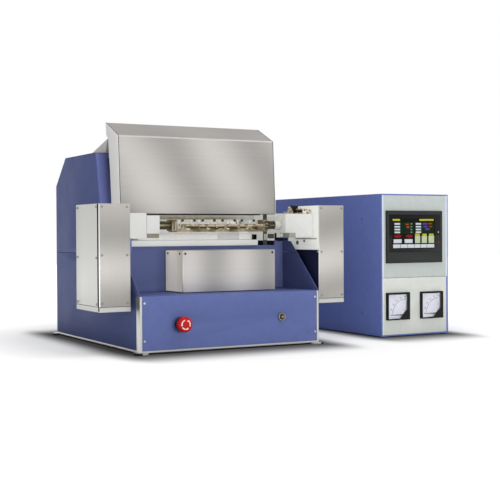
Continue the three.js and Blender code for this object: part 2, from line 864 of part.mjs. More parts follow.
// Arm housings, open at the front and the outer side, and the covers that close them
function arms() {
  const rear = armRear;
  const inner = -armGap;
  const coverLow = armBottom + armLip + fit;
  for (const side of ['left', 'right']) {
    const housing = joined(
      cut(
        block(span(side, armOuter + sheet + fit, inner), [armFront + sheet + fit, rear], [armBottom, armTop]),
        block(span(side, armOuter - overrun, inner - armWall), [armFront - overrun, rear - armWall],
          [armBottom + armWall, armTop - armWall])),
      block(span(side, armOuter + sheet + fit, inner), [armFront, armFront + armWall + sheet + fit],
        [armBottom, armBottom + armLip]));
    const throughWall = span(side, inner - armWall - overrun, inner + overrun);
    const shaftHole = rodX(throughWall, axisY, axisZ, shaftRadius + running);
    place(`${side}_arm_housing`, housing.subtract(shaftHole), stainless);

    const front = block(span(side, armOuter, inner), [armFront, armFront + sheet], [coverLow, armTop]);
    const fold = block(span(side, armOuter, armOuter + sheet), [armFront, armFront + armReturn],
      [coverLow, armTop]);
    place(`${side}_arm_front_cover`, joined(front, fold), stainless);
    place(`${side}_arm_side_cover`, block(span(side, armOuter, armOuter + sheet),
      [armFront + armReturn + armCoverGap, rear], [armBottom, armTop]), silverTrim);
  }
}

// The white blocks that carry the shaft: the left one has a nose, the right one a heel
function bearingBlocks() {
  const seat = -armGap + fit;
  const flangeInner = seat + flangeThickness;
  for (const side of ['left', 'right']) {
    const innerX = side === 'left' ? leftBlockReach : rightBlockReach;
    let whole = joined(
      block(span(side, seat, innerX), [blockFront, blockRear], [blockBottom, blockTop]),
      block(span(side, seat, flangeInner), [armFront + flangeSetback, armRear - flangeTail],
        [flangeBottom, blockBottom + overrun]));
    if (side === 'left') {
      whole = joined(whole,
        block([innerX - overrun, noseInner], [blockFront + fit, blockFront + noseDepth],
          [noseBottom, noseTop]),
        block([innerX - overrun, noseInner - fit],
          [blockFront + clampInset, blockFront + noseDepth - clampInset],
          [clampBottom, noseBottom + overrun]));
    } else {
      whole = joined(whole,
        block(span(side, seat, innerX), [blockRear - overrun, blockRear + heelDepth], [noseBottom, noseTop]));
    }
    const bore = rodX(span(side, seat - overrun, noseInner + overrun), axisY, axisZ, shaftRadius + running);
    place(`${side}_bearing_block`, whole.subtract(bore), whiteCeramic);
  }
  const sensorX = span('right', seat, seat + sensorWidth);
  const sensorFront = blockRear + sensorSetback;
  const sensorLow = noseTop + fit;
  const sensorRadius = (sensorTop - sensorLow) / 2;
  const sensor = joined(
    block(sensorX, [sensorFront, sensorFront + sensorDepth], [sensorLow, sensorLow + sensorRadius]),
    rodX(sensorX, sensorFront + sensorRadius, sensorTop - sensorRadius, sensorRadius));
  place('position_sensor', sensor, brass);
}

// The cradle: two slotted rails, cross bars with their posts between the seats, and clamped ends
function cradle() {
  const [front, rear] = [axisY - cradleHalfDepth, axisY + cradleHalfDepth];
  const [x0, x1] = [cradleLeft + cradleEndBlock, cradleRight - cradleEndBlock];
  const inside = [x0 - overrun, x1 + overrun];
  let frame = joined(
    block(inside, [front, front + cradleRail], [cradleRailBottom, cradleRailTop]),
    block(inside, [rear - cradleRail, rear], [cradleRailBottom, cradleRailTop]),
    block(inside, [front + overrun, rear - overrun], [crossBottom, crossTop]));
  for (const [a, b] of [[cradleLeft, x0], [x1, cradleRight]]) {
    frame = joined(frame,
      block([a, b], around(axisY, cradleEndDepth), [cradleEndBottom, cradleEndTop]));
  }
  for (const x of [x0, x1]) {
    frame = frame.add(block(around(x, 2 * cradleRail), [front, rear], [cradleRailBottom, cradleRailTop]));
  }
  for (let i = 0; i < seatCount; i += 1) {
    const x = middle + (i - (seatCount - 1) / 2) * seatPitch;
    frame = cut(frame,
      rodZ([crossBottom - overrun, crossTop + overrun], x, axisY, seatRadius),
      block(around(x, seatSlotLength), [front - overrun, rear + overrun], [seatSlotLow, crossBottom]));
  }
  for (let i = 0; i <= seatCount; i += 1) {
    const x = middle + (i - seatCount / 2) * seatPitch;
    for (const step of [-1, 1]) {
      const postX = x + step * postSpacing / 2;
      if (postX < cradleLeft + postRadius || postX > cradleRight - postRadius) continue;
      frame = frame.add(rodZ([crossBottom + overrun, postTop], postX, rear - cradleRail / 2, postRadius));
    }
  }
  place('cradle_frame', frame, heatTinted);

  const motorEnd = -motorFace + fit;
  const leftShaft = ribbedShaft([motorEnd, cradleLeft - fit], noseInner + shaftRibPitch);
  const rightShaft = ribbedShaft([cradleRight + fit, rightShaftEnd], cradleRight + shaftRibPitch);
  place('left_cradle_shaft', leftShaft, heatTinted);
  place('right_cradle_shaft', rightShaft, heatTinted);
}

function ribbedShaft(ends, firstRib) {
  let shaft = rodX(ends, axisY, axisZ, shaftRadius);
  for (let i = 0; i < shaftRibCount; i += 1) {
    const x = firstRib + i * shaftRibPitch;
    shaft = shaft.add(rodX([x, x + shaftRibWidth], axisY, axisZ, shaftRibRadius));
  }
  return shaft;
}

// The gear motor in the left arm, in line with the shaft, on two stand-offs
function tiltMotor() {
  const standoff = [-motorFace - overrun, -armGap - armWall - fit];
  let motor = block([-motorFace - motorLength, -motorFace],
    around(axisY, motorSize), around(axisZ, motorSize));
  for (const step of [-1, 1]) {
    const offset = step * (motorSize / 2 - standoffRadius);
    motor = motor.add(rodX(standoff, axisY + offset, axisZ + offset, standoffRadius));
  }
  place('tilt_motor', motor, blackPlastic);
}

// Door: an insulated plate on a carrier that runs on two guide rods, hung from the lift rod
function door() {
  const plateBack = doorBack + carrierThickness;
  let panel = joined(
    block([hearthInset, hearthRight], [doorFront, doorBack], [doorBottom, doorTop]),
    block([guideInset - guideBossRadius, bodyWidth - guideInset + guideBossRadius],
      [doorBack - overrun, plateBack], [carrierBottom, carrierTop]),
    block(around(middle, tailWidth), [plateBack - overrun, guideY + liftLugReach],
      [carrierBottom, carrierBottom + liftLugHeight]),
    rodZ([carrierBottom + liftLugHeight / 2, liftRodTop], middle, guideY, liftRodRadius));
  for (const side of ['left', 'right']) {
    const x = sides[side](guideInset);
    panel = joined(panel,
      rodZ([carrierBottom, carrierTop], x, guideY, guideBossRadius),
      block(around(x, 2 * guideBossRadius), [plateBack - overrun, guideY], [carrierBottom, carrierTop]));
    const bore = rodZ([carrierBottom - overrun, carrierTop + overrun], x, guideY, guideRadius + running);
    panel = panel.subtract(bore);
  }
  place('furnace_door', panel, whiteCeramic);

  const endX = hoodInset + sheet + fit;
  const barRear = guideBarFront + guideBarDepth;
  let frame = block([endX, bodyWidth - endX], [guideBarFront, barRear], [guideHead, guideTop]);
  for (const side of ['left', 'right']) {
    const x = sides[side](guideInset);
    const arm = (low, high) => prismX([
      [guideY - guideRadius, low], [towerFront(low) - fit, low],
      [towerFront(high) - fit, high], [guideY - guideRadius, high]], around(x, guideArmWidth));
    frame = joined(frame,
      arm(guideFoot, guideFoot + guideArm), arm(guideHead, guideTop),
      rodZ([guideFoot, guideTop], x, guideY, guideRadius),
      block(span(side, endX, endX + guideArm), [guideBarFront - guideFrontReach, barRear],
        [guideHead, guideTop]));
  }
  place('door_guide_frame', frame, steel);

  const tube = joined(
    rodZ([liftTubeBottom, liftTubeTop], middle, guideY, liftTubeRadius),
    block(around(middle, liftArmWidth), [guideY, guideBarFront - fit], [guideHead, guideTop]));
  const boreZ = [liftTubeBottom - overrun, liftTubeTop - overrun];
  const bore = rodZ(boreZ, middle, guideY, liftRodRadius + running);
  place('door_actuator', tube.subtract(bore), steel);
}

// Emergency stop: flange and barrel in the panel, a stem that travels and a head that also twists
function emergencyStop() {
  const bore = stopStemRadius + running;
  const flange = cut(
    joined(
      rodY([-stopFlangeDepth, -fit], stopX, stopZ, stopFlangeRadius),
      rodY([-stopFlangeDepth / 2, stopBarrelRear], stopX, stopZ, stopBarrelRadius)),
    rodY([-stopFlangeDepth - overrun, stopBarrelRear - overrun], stopX, stopZ, bore));
  place('estop_collar', flange, blackPlastic);
  const headFront = -stopHeadRear - stopHeadDepth;
  const socketEnd = -stopHeadRear - stopStemSocket;
  place('estop_stem', rodY([socketEnd + fit, stopStemTail], stopX, stopZ, stopStemRadius), steel);
  const rim = arc(stopHeadRadius - stopHeadRound, headFront + stopHeadRound, stopHeadRound,
    -Math.PI / 2, 0, 4);
  const profile = [
    [0, headFront], ...rim, [stopHeadRadius, -stopHeadRear - stopHeadRound / 2],
    [stopHeadRadius - stopHeadRound, -stopHeadRear], [0, -stopHeadRear]];
  const socket = rodY([socketEnd, -stopHeadRear + overrun], stopX, stopZ, stopStemRadius + fit);
  place('estop_head', turnedY(profile, stopX, stopZ).subtract(socket), redPlastic);
}

function pushButton() {
  const barrel = cut(
    joined(
      rodY([-bezelDepth, -fit], buttonX, buttonZ, bezelRadius),
      rodY([-bezelDepth / 2, bezelBarrelRear], buttonX, buttonZ, bezelBarrelRadius)),
    rodY([-bezelDepth - overrun, bezelBarrelRear - overrun], buttonX, buttonZ, buttonRadius + running));
  place('button_bezel', barrel, stainless);
  place('power_button', rodY([-bezelDepth - buttonProud, buttonTail], buttonX, buttonZ, buttonRadius), brass);
}

// Cabinet: a sleeve on four pads, two front panels, a rear panel with the fan frame and glands
function cabinet() {
  const rear = cabinetRear;
  const ys = [cabinetFront, rear];
  let shell = cut(
    block([cabinetLeft, cabinetRight], ys, [cabinetFoot, cabinetHeight]),
    block([cabinetLeft + cabinetWall, cabinetRight - cabinetWall], [cabinetFront - overrun, rear + overrun],
      [cabinetFoot + cabinetWall, cabinetHeight - cabinetWall]));
  for (const x of [cabinetLeft + cabinetFootInset, cabinetRight - cabinetFootInset]) {
    for (const y of [cabinetFront + cabinetFootInset, rear - cabinetFootInset]) {
      shell = shell.add(rodZ([0, cabinetFoot + cabinetWall / 2], x, y, cabinetFootRadius));
    }
  }
  place('cabinet_shell', shell, bluePaint);

  const across = [cabinetLeft + cabinetWall + fit, cabinetRight - cabinetWall - fit];
  const low = cabinetFoot + cabinetWall + fit;
  const high = cabinetHeight - cabinetWall - fit;
  const frontY = [cabinetFront, cabinetFront + panelThickness];
  const cutY = [cabinetFront - overrun, cabinetFront + panelThickness + overrun];
  const [sx, sz] = [cabinetLeft + screenLeftInset, screenBodyBottom];
  const screenX = [sx + screenCutInset, sx + screenBodyWidth - screenCutInset];
  const screenZ = [sz + screenCutInset, sz + screenBodyHeight - screenCutInset];
  place('cabinet_upper_panel', cut(
    block(across, frontY, [cabinetSeam + seamGap / 2, high]),
    block(screenX, cutY, screenZ)), lightPaint);
  let lower = block(across, frontY, [low, cabinetSeam - seamGap / 2]);
  const meterX = [cabinetLeft + meterLeftInset, cabinetRight - meterRightInset - meterWidth];
  const meterMiddle = meterBottom + meterHeight / 2;
  for (const x of meterX) {
    lower = lower.subtract(rodY(cutY, x + meterWidth / 2, meterMiddle, meterDrumRadius + fit));
  }
  place('cabinet_lower_panel', lower, lightPaint);

  screen(sx, sz, screenX, screenZ);
  meter('left', meterX[0]);
  meter('right', meterX[1]);
  rearPanel(across, [low, high]);
  power(low);
}

function screen(sx, sz, cutX, cutZ) {
  const face = cabinetFront - fit;
  const bezel = block([sx, sx + screenBodyWidth], [face - screenBodyProud, face],
    [sz, sz + screenBodyHeight]);
  const tail = block([cutX[0] + fit, cutX[1] - fit], [face - overrun, cabinetFront + screenBodyTail],
    [cutZ[0] + fit, cutZ[1] - fit]);
  const rebate = block([sx + screenRebateSide, sx + screenBodyWidth - screenRebateSide],
    [face - screenBodyProud - overrun, face - screenBodyProud + screenRebateDepth],
    [sz + screenRebateLow, sz + screenBodyHeight - screenRebateHigh]);
  place('screen_body', joined(bezel, tail).subtract(rebate), screenPlastic);
}

// A panel meter: square case with a window over the dial, a drum behind, and a needle that
// turns about a pivot in the lower right corner
function meter(side, x0) {
  const face = cabinetFront - fit;
  const front = face - meterProud;
  const coverBack = front + meterCover;
  const dial = coverBack + meterDialGap;
  const [x1, z0, z1] = [x0 + meterWidth, meterBottom, meterBottom + meterHeight];
  const window = meterWindowShares.map(([a, b]) => [x0 + meterWidth * a, z0 + meterHeight * b]);
  const pivotX = x1 - needlePivotRight;
  const pivotZ = z0 + needlePivotUp;
  const hubBack = dial - running;
  const pinEnd = hubBack + needlePinDepth;
  const body = cut(
    joined(
      block([x0, x1], [front, face], [z0, z1]),
      rodY([face - overrun, cabinetFront + meterDrumRear], (x0 + x1) / 2, (z0 + z1) / 2, meterDrumRadius)),
    prismY(window, [front - overrun, coverBack + overrun]),
    block([x0 + meterRim, x1 - meterRim], [coverBack, dial], [z0 + meterRim / 2, z1 - meterRim]),
    rodY([dial - overrun, pinEnd + running], pivotX, pivotZ, needlePinRadius + running));
  place(`${side}_meter`, body, blackPlastic);
  const bladeY = [hubBack - needleHubDepth, hubBack - needleHubDepth + needleThickness];
  place(`${side}_meter_needle`, joined(
    rodY([hubBack - needleHubDepth, hubBack], pivotX, pivotZ, needleHubRadius),
    rodY([hubBack - needleThickness, pinEnd], pivotX, pivotZ, needlePinRadius),
    block([pivotX - needleLength, pivotX], bladeY, around(pivotZ, needleWidth))), blackPlastic);
}

function rearPanel(across, [low, high]) {
  const inside = cabinetRear - panelThickness;
  const x = (cabinetLeft + cabinetRight) / 2;
  const spiderSpan = fanFrameSide - 2 * overrun;
  const frameFront = inside - fanFrameDepth;
  let panel = joined(
    block(across, [inside, cabinetRear], [low, high]),
    block(around(x, fanFrameSide), [frameFront, inside + panelThickness / 2], around(fanRise, fanFrameSide)));
  panel = panel.subtract(rodY([frameFront - overrun, cabinetRear + overrun], x, fanRise, fanOpening));
  const spiderY = [frameFront, frameFront + fanSpiderDepth];
  panel = joined(panel,
    block(around(x, spiderSpan), spiderY, around(fanRise, fanSpiderBar)),
    block(around(x, fanSpiderBar), spiderY, around(fanRise, spiderSpan)),
    rodY(spiderY, x, fanRise, fanHubRadius));
  panel = joined(panel, gland(x - glandSpacing, cabinetRear), gland(x + glandSpacing, cabinetRear));
  place('cabinet_rear_panel', panel, lightPaint);

  const hubY = frameFront + fanSpiderDepth + fit;
  let rotor = rodY([hubY, hubY + fanHubDepth], x, fanRise, fanHubRadius);
  for (let i = 0; i < fanBladeCount; i += 1) {
    const reach = fanBladeTip - fanHubRadius + overrun;
    const blade = new THREE.BoxGeometry(reach, fanBladeChord, fanBladeThickness);
    blade.rotateX(fanBladePitch);
    blade.translate((fanBladeTip + fanHubRadius - overrun) / 2, 0, 0);
    blade.rotateY(i * 2 * Math.PI / fanBladeCount);
    blade.translate(x, hubY + fanHubSetback + fanBladeThickness, fanRise);
    rotor = rotor.add(solid(blade));
  }
  place('fan_rotor', rotor, blackPlastic);
}

// Transformer and power controller on the floor of the cabinet
function power(low) {
  const x = (cabinetLeft + cabinetRight) / 2;
  const [tx0, tx1] = [x - transformerWidth / 2, x + transformerWidth / 2];
  const [ty0, ty1] = [transformerFront, transformerFront + transformerDepth];
  const coreTop = low + transformerHeight;
  const half = transformerLeg / 2;
  const windowLow = low + transformerYoke;
  const windowHigh = coreTop - transformerYoke;
  const core = cut(
    block([tx0, tx1], [ty0 + coilOut, ty1 - coilOut], [low, coreTop]),
    block([tx0 + transformerLeg, x - half], [ty0, ty1], [windowLow, windowHigh]),
    block([x + half, tx1 - transformerLeg], [ty0, ty1], [windowLow, windowHigh]));
  const coil = block([tx0 + transformerLeg + fit, tx1 - transformerLeg - fit], [ty0, ty1],
    [windowLow + fit, windowHigh - fit]);
  place('transformer', joined(core, coil), copper);

  const [cx0, cx1] = [x - controllerWidth / 2, x + controllerWidth / 2];
  const cy = [controllerFront, controllerFront + controllerDepth];
  const bodyTop = low + controllerHeight - finHeight;
  let controller = block([cx0, cx1], cy, [low, bodyTop]);
  for (let i = 0; i < finCount; i += 1) {
    const fx = cx0 + (controllerWidth - finThickness) * i / (finCount - 1);
    controller = controller.add(block([fx, fx + finThickness], cy, [bodyTop - overrun, bodyTop + finHeight]));
  }
  place('power_controller', controller, steel);
}

baseFrame();
lowerFrontPanel();
sidePanels();
recessedWall();
driveCover();
tower();
hood();
chamber();
armDrive();
carriageYoke();
arms();
bearingBlocks();
cradle();
tiltMotor();
door();
emergencyStop();
pushButton();
cabinet();

furnace.position.set(-(armOuter + cabinetRight) / 2, -(frontmost + rearmost) / 2, 0);

export default furnace;
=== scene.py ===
# %% [markdown]
# # A laboratory furnace for fused beads
# The real object is two things on one bench: a blue sheet-metal furnace with a stainless hood and two
# sliding arms, and a tall control cabinet with a touch screen and two panel meters. The construction
# is already fixed in a frame of solid nodes, so this lesson only dresses it: it softens edges, adds
# the small parts that a viewer looks for, and gives each surface its finish.

# %% Load the frame
import json
import math

import bpy
from mathutils import Matrix, Vector

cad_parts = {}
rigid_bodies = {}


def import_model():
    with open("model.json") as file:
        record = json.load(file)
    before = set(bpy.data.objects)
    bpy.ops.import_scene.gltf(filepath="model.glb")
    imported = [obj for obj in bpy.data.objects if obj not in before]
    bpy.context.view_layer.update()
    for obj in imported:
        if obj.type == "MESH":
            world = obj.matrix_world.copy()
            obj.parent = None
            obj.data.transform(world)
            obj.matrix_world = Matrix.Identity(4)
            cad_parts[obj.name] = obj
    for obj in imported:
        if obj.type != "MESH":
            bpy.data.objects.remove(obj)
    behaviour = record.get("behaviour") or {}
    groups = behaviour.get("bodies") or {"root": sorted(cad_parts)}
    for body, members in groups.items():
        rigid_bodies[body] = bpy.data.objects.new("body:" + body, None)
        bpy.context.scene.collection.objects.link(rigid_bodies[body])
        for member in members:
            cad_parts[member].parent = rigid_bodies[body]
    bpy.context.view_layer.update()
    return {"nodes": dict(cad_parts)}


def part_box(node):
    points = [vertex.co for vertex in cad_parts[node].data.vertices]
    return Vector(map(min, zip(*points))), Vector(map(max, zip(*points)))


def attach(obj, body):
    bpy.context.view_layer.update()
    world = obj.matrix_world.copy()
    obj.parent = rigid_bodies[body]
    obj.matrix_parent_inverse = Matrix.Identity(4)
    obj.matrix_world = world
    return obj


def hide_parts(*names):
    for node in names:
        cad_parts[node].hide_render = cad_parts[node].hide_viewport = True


for leftover in list(bpy.data.objects):
    bpy.data.objects.remove(leftover)

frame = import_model()
nodes = frame["nodes"]
MM = 0.001
corner = Vector((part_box("left_lower_side_panel")[0].x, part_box("lower_front_panel")[0].y, 0.0))


def at(x, y, z):
    """A point in millimetres from the furnace's lower front left corner, in the frame's metres."""
    return corner + Vector((x, y, z)) * MM


# %% [markdown]
# ## Camera
# The photograph was taken from the left front, a little above the deck, with a long lens. A fit of
# the object's straight edges gives the place and the three angles below. The rotation is built from
# the view direction, because that keeps the small roll that a tracking constraint would lose.

# %% Camera
camera_place = at(-1020.1, -2406.2, 301.6)
yaw, pitch, roll = math.radians(28.93), math.radians(0.66), math.radians(-0.33)
image_width = 500
focal_pixels = 1058.15
sensor_width = 36.0

forward = Vector((math.sin(yaw) * math.cos(pitch), math.cos(yaw) * math.cos(pitch), -math.sin(pitch)))
level = Vector((math.cos(yaw), -math.sin(yaw), 0.0))
upright = level.cross(forward)
rightward = math.cos(roll) * level + math.sin(roll) * upright
upward = -math.sin(roll) * level + math.cos(roll) * upright

bpy.ops.object.camera_add()
camera = bpy.context.object
camera.name = "camera"
camera.matrix_world = Matrix.Translation(camera_place) @ Matrix(
    (rightward, upward, -forward)).transposed().to_4x4()
camera.data.sensor_width = sensor_width
camera.data.lens = focal_pixels / image_width * sensor_width
bpy.context.scene.camera = camera
print("lens in mm:", round(camera.data.lens, 1))

# %% [markdown]
# ## Tools for node trees
# Light, floor and finishes are all trees of shader nodes. They could be placed and wired one by one,
# but functions that add a node, fill its inputs and hand on its output make a tree read like a
# formula, and the same few serve every tree of this lesson.

# %% Nodes and links
def connect(node, inputs):
    """Gives each named or numbered input of a node its value, or a link where that is a socket."""
    for label, value in inputs.items():
        if isinstance(value, bpy.types.NodeSocket):
            node.id_data.links.new(value, node.inputs[label])
        else:
            node.inputs[label].default_value = value


def add(tree, kind, inputs=None, **settings):
    """A new node with its settings and inputs."""
    node = tree.nodes.new(kind)
    for key, value in settings.items():
        setattr(node, key, value)
    connect(node, inputs or {})
    return node


def follow(kind, inputs, **settings):
    """The outputs of a new node in the tree that its first linked input comes from."""
    sockets = [value for value in inputs.values() if isinstance(value, bpy.types.NodeSocket)]
    return add(sockets[0].id_data, kind, inputs, **settings).outputs


def calculate(operation, first, second=0.0):
    """A Math node's result for sockets or numbers."""
    return follow("ShaderNodeMath", {0: first, 1: second}, operation=operation)[0]


def calculate_vector(operation, first, second=(0.0, 0.0, 0.0)):
    """A Vector Math node's result: a number for a length or a dot product, else a vector."""
    outputs = follow("ShaderNodeVectorMath", {0: first, 1: second}, operation=operation)
    return outputs["Value" if operation in ("LENGTH", "DOT_PRODUCT") else "Vector"]


def mapped(value, low, high, to_low, to_high, easing="LINEAR"):
    """A value moved from one range to another and kept inside it."""
    inputs = {"Value": value, "From Min": low, "From Max": high, "To Min": to_low, "To Max": to_high}
    return follow("ShaderNodeMapRange", inputs, interpolation_type=easing)["Result"]


def blend(share, first, second, data_type="RGBA", blend_type="MIX"):
    """Two colours, or with FLOAT two numbers, mixed by a share."""
    inputs = {"Factor": share, "A": first, "B": second}
    return follow("ShaderNodeMix", inputs, data_type=data_type, blend_type=blend_type)["Result"]


def seen_by(tree, *rays):
    """1 for the named kinds of ray and 0 for all others."""
    path = add(tree, "ShaderNodeLightPath").outputs
    seen = path[f"Is {rays[0]} Ray"]
    for ray in rays[1:]:
        seen = calculate("MAXIMUM", seen, path[f"Is {ray} Ray"])
    return seen


def on_object(tree):
    """Object coordinates, which stay with the mesh when its object moves."""
    return add(tree, "ShaderNodeTexCoord").outputs["Object"]


def shader_of(material):
    """A material's Principled shader."""
    return material.node_tree.nodes["Principled BSDF"]


def blank_material(name, base, roughness, **constants):
    """A Principled material with its plain values. An underscore in a label stands for a space."""
    material = bpy.data.materials.new(name)
    material.use_nodes = True
    values = {label.replace("_", " "): value for label, value in constants.items()}
    connect(shader_of(material), {"Base Color": base, "Roughness": roughness, **values})
    return material


print("node helpers: connect, add, calculate, mapped, blend")

# %% [markdown]
# ## Light and floor
# The photograph is a plain studio shot: white all round, a tall soft light in front that also reaches
# into the low gap under the hood, and a weaker one overhead. The world shows pure white to the
# camera. What polished metal mirrors is the same white, a little darker overhead and behind the
# camera, as in a real studio, and that gives the sheet metal its form without hot spots. The floor
# adds its own white where it is seen, so that it meets the background without a line, and it is
# darker close to the object, where the photograph has a soft contact shadow.

# %% World
WHITE = (1.0, 1.0, 1.0, 1.0)
ambient_strength = 0.42
bpy.context.scene.view_settings.view_transform = "Standard"
world = bpy.data.worlds.new("studio")
bpy.context.scene.world = world
world.use_nodes = True
tree = world.node_tree
direction = add(tree, "ShaderNodeTexCoord").outputs["Generated"]
sky = follow("ShaderNodeSeparateXYZ", {0: direction})
overhead_dim = mapped(sky["Z"], 0.2, 0.9, 1.0, 0.72)
behind_dim = mapped(sky["Y"], -0.9, 0.2, 0.88, 1.0)
mirrored = calculate("MULTIPLY", overhead_dim, behind_dim)
strength = blend(seen_by(tree, "Glossy"), ambient_strength, mirrored, "FLOAT")
strength = blend(seen_by(tree, "Camera", "Transmission"), strength, 1.0, "FLOAT")
connect(tree.nodes["Background"], {"Strength": strength, "Color": WHITE})
print("world nodes:", len(tree.nodes))


# %% Lamps
def area_light(name, place, width, height, power):
    """A lamp at a place, turned to the middle of the object, that metal doesn't mirror."""
    bpy.ops.object.light_add(type="AREA", location=place)
    lamp = bpy.context.object
    lamp.name = name
    lamp.data.shape = "RECTANGLE"
    lamp.data.size = width
    lamp.data.size_y = height
    lamp.data.energy = power
    lamp.visible_glossy = False
    lamp.rotation_euler = (middle_of_all - Vector(place)).to_track_quat("-Z", "Y").to_euler()


middle_of_all = Vector((0.0, 0.0, 0.3))
area_light("front", (-0.1, -3.4, 0.37), 1.8, 0.66, 53.0)
area_light("overhead", (0.2, -0.6, 2.7), 2.2, 2.2, 30.0)

# %% Floor
floor_side = 14.0
bpy.ops.mesh.primitive_plane_add(size=floor_side, location=(0.0, 0.0, 0.0))
floor = bpy.context.object
floor.name = "floor"
far_white = (0.85, 0.85, 0.85, 1.0)
near_grey = (0.16, 0.155, 0.15, 1.0)
floor_paint = blank_material("floor_white", far_white, 0.9, Specular_IOR_Level=0.0, Emission_Color=WHITE)
floor_place = on_object(floor_paint.node_tree)


def distance_to(*names):
    """How far a point of the floor lies from the footprint of some nodes, with x stretched."""
    boxes = [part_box(name) for name in names]
    low = Vector([min(pair[0][i] for pair in boxes) for i in range(3)])
    high = Vector([max(pair[1][i] for pair in boxes) for i in range(3)])
    middle, half = (low + high) / 2, (high - low) / 2
    nothing, sideways = (0.0, 0.0, 0.0), 2.2
    offset = floor_place
    for operation, value in (
            ("SUBTRACT", (middle.x, middle.y, 0.0)), ("ABSOLUTE", nothing), ("SUBTRACT", (half.x, half.y, 0.0)),
            ("MAXIMUM", nothing), ("MULTIPLY", (sideways, 1.0, 0.0)), ("LENGTH", nothing)):
        offset = calculate_vector(operation, offset, value)
    return offset


nearest = calculate("MINIMUM", distance_to("base_frame", "rear_cover"), distance_to("cabinet_shell"))
openness = mapped(nearest, 0.0, 0.2, 0.0, 1.0, "SMOOTHSTEP")
outward = mapped(calculate_vector("LENGTH", floor_place), 0.6, 1.5, 0.3, 1.0)
glow = calculate("MULTIPLY", seen_by(floor_paint.node_tree, "Camera", "Glossy", "Transmission"),
                 calculate("MULTIPLY", outward, openness))
connect(shader_of(floor_paint), {
    "Base Color": blend(openness, near_grey, far_white), "Emission Strength": glow})
floor.data.materials.append(floor_paint)

# %% [markdown]
# ## Tools for shaping
# Every new piece starts as a primitive at its size and place, and is then shaped in edit mode. A node
# of the frame that has the right shape is copied, its loose triangles are merged back into faces,
# and its edges get a small rounding, because no folded or moulded edge is perfectly sharp. A bevel
# modifier that is applied does that for all edges at once, where rounding by hand would miss some.

# %% Selection and edit mode
SHARP = math.radians(32)
print("edges to round turn by more than", round(math.degrees(SHARP)), "degrees")


def deselect():
    """Object mode, with nothing selected."""
    if bpy.context.object and bpy.context.object.mode != "OBJECT":
        bpy.ops.object.mode_set(mode="OBJECT")
    bpy.ops.object.select_all(action="DESELECT")


def pick(piece):
    """Makes a piece the only selected and the active object."""
    deselect()
    piece.select_set(True)
    bpy.context.view_layer.objects.active = piece
    return piece


def edit(piece, faces=None, edges=None):
    """Edit mode on a piece, with all of it selected, or the faces or the edges that pass a test."""
    pick(piece)
    bpy.ops.object.mode_set(mode="EDIT")
    if not (faces or edges):
        bpy.ops.mesh.select_all(action="SELECT")
        return
    bpy.ops.mesh.select_mode(type="FACE" if faces else "EDGE")
    bpy.ops.mesh.select_all(action="DESELECT")
    bpy.ops.object.mode_set(mode="OBJECT")
    for face in piece.data.polygons if faces else ():
        face.select = faces(face)
    for edge in piece.data.edges if edges else ():
        edge.select = edges(*(piece.data.vertices[index].co for index in edge.vertices))
    bpy.ops.object.mode_set(mode="EDIT")


def leave_edit():
    """Back to object mode."""
    bpy.ops.object.mode_set(mode="OBJECT")


def round_edges(piece, width, segments=2):
    """Rounds the sharp edges by a width in millimetres, and shades only the blunt ones smooth."""
    pick(piece)
    if width:
        rounding = piece.modifiers.new("rounding", "BEVEL")
        rounding.width = width * MM
        rounding.segments = segments
        rounding.limit_method = "ANGLE"
        rounding.angle_limit = SHARP
        bpy.ops.object.modifier_apply(modifier=rounding.name)
    bpy.ops.object.shade_smooth_by_angle(angle=SHARP)
    return piece


# %% Primitives at their size and place
AXIS_TURNS = {"X": (0.0, math.pi / 2, 0.0), "Y": (math.pi / 2, 0.0, 0.0), "Z": (0.0, 0.0, 0.0)}


def point(place):
    """A place in the frame: a tuple is in millimetres from the furnace's corner, a Vector stays."""
    return place if isinstance(place, Vector) else at(*place)


def settled():
    """The active object, with its place, turn and size put into its mesh."""
    piece = pick(bpy.context.object)
    bpy.ops.object.transform_apply(location=True, rotation=True, scale=True)
    return piece


def block(one, other, edge=0.0, segments=2):
    """A cuboid between two opposite corners, with edges rounded by a width in millimetres."""
    low, high = (Vector(map(pick_end, point(one), point(other))) for pick_end in (min, max))
    deselect()
    bpy.ops.mesh.primitive_cube_add(size=1.0, location=(low + high) / 2)
    bpy.context.object.scale = high - low
    return round_edges(settled(), edge, segments) if edge else settled()


def rod(centre, radius, length, axis, edge=0.0, sides=40, segments=2):
    """A cylinder round a centre along one axis with rounded rims, its sizes in millimetres."""
    deselect()
    bpy.ops.mesh.primitive_cylinder_add(
        vertices=sides, radius=radius * MM, depth=length * MM, location=point(centre), rotation=AXIS_TURNS[axis])
    return round_edges(settled(), edge, segments)


print("primitives: block, rod")

# %% Finishing a piece and dressing a node
WELD = 0.00001
FLAT = math.radians(0.5)


def finish(name, shapes, body, material):
    """One named piece of a shape or of several, with its material and its body."""
    piece = shapes
    if isinstance(shapes, list):
        deselect()
        for shape in shapes:
            shape.select_set(True)
        bpy.context.view_layer.objects.active = shapes[0]
        bpy.ops.object.join()
        piece = bpy.context.object
    piece.name = piece.data.name = name
    piece.data.materials.clear()
    piece.data.materials.append(material)
    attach(piece, body)
    return piece


def linked(mesh):
    """A new object in the scene for a mesh."""
    piece = bpy.data.objects.new("copy", mesh)
    bpy.context.scene.collection.objects.link(piece)
    return piece


def merged(node):
    """A copy of a node with its loose triangles merged into faces."""
    piece = linked(nodes[node].data.copy())
    edit(piece)
    bpy.ops.mesh.remove_doubles(threshold=WELD)
    bpy.ops.mesh.dissolve_limited(angle_limit=FLAT)
    leave_edit()
    return piece


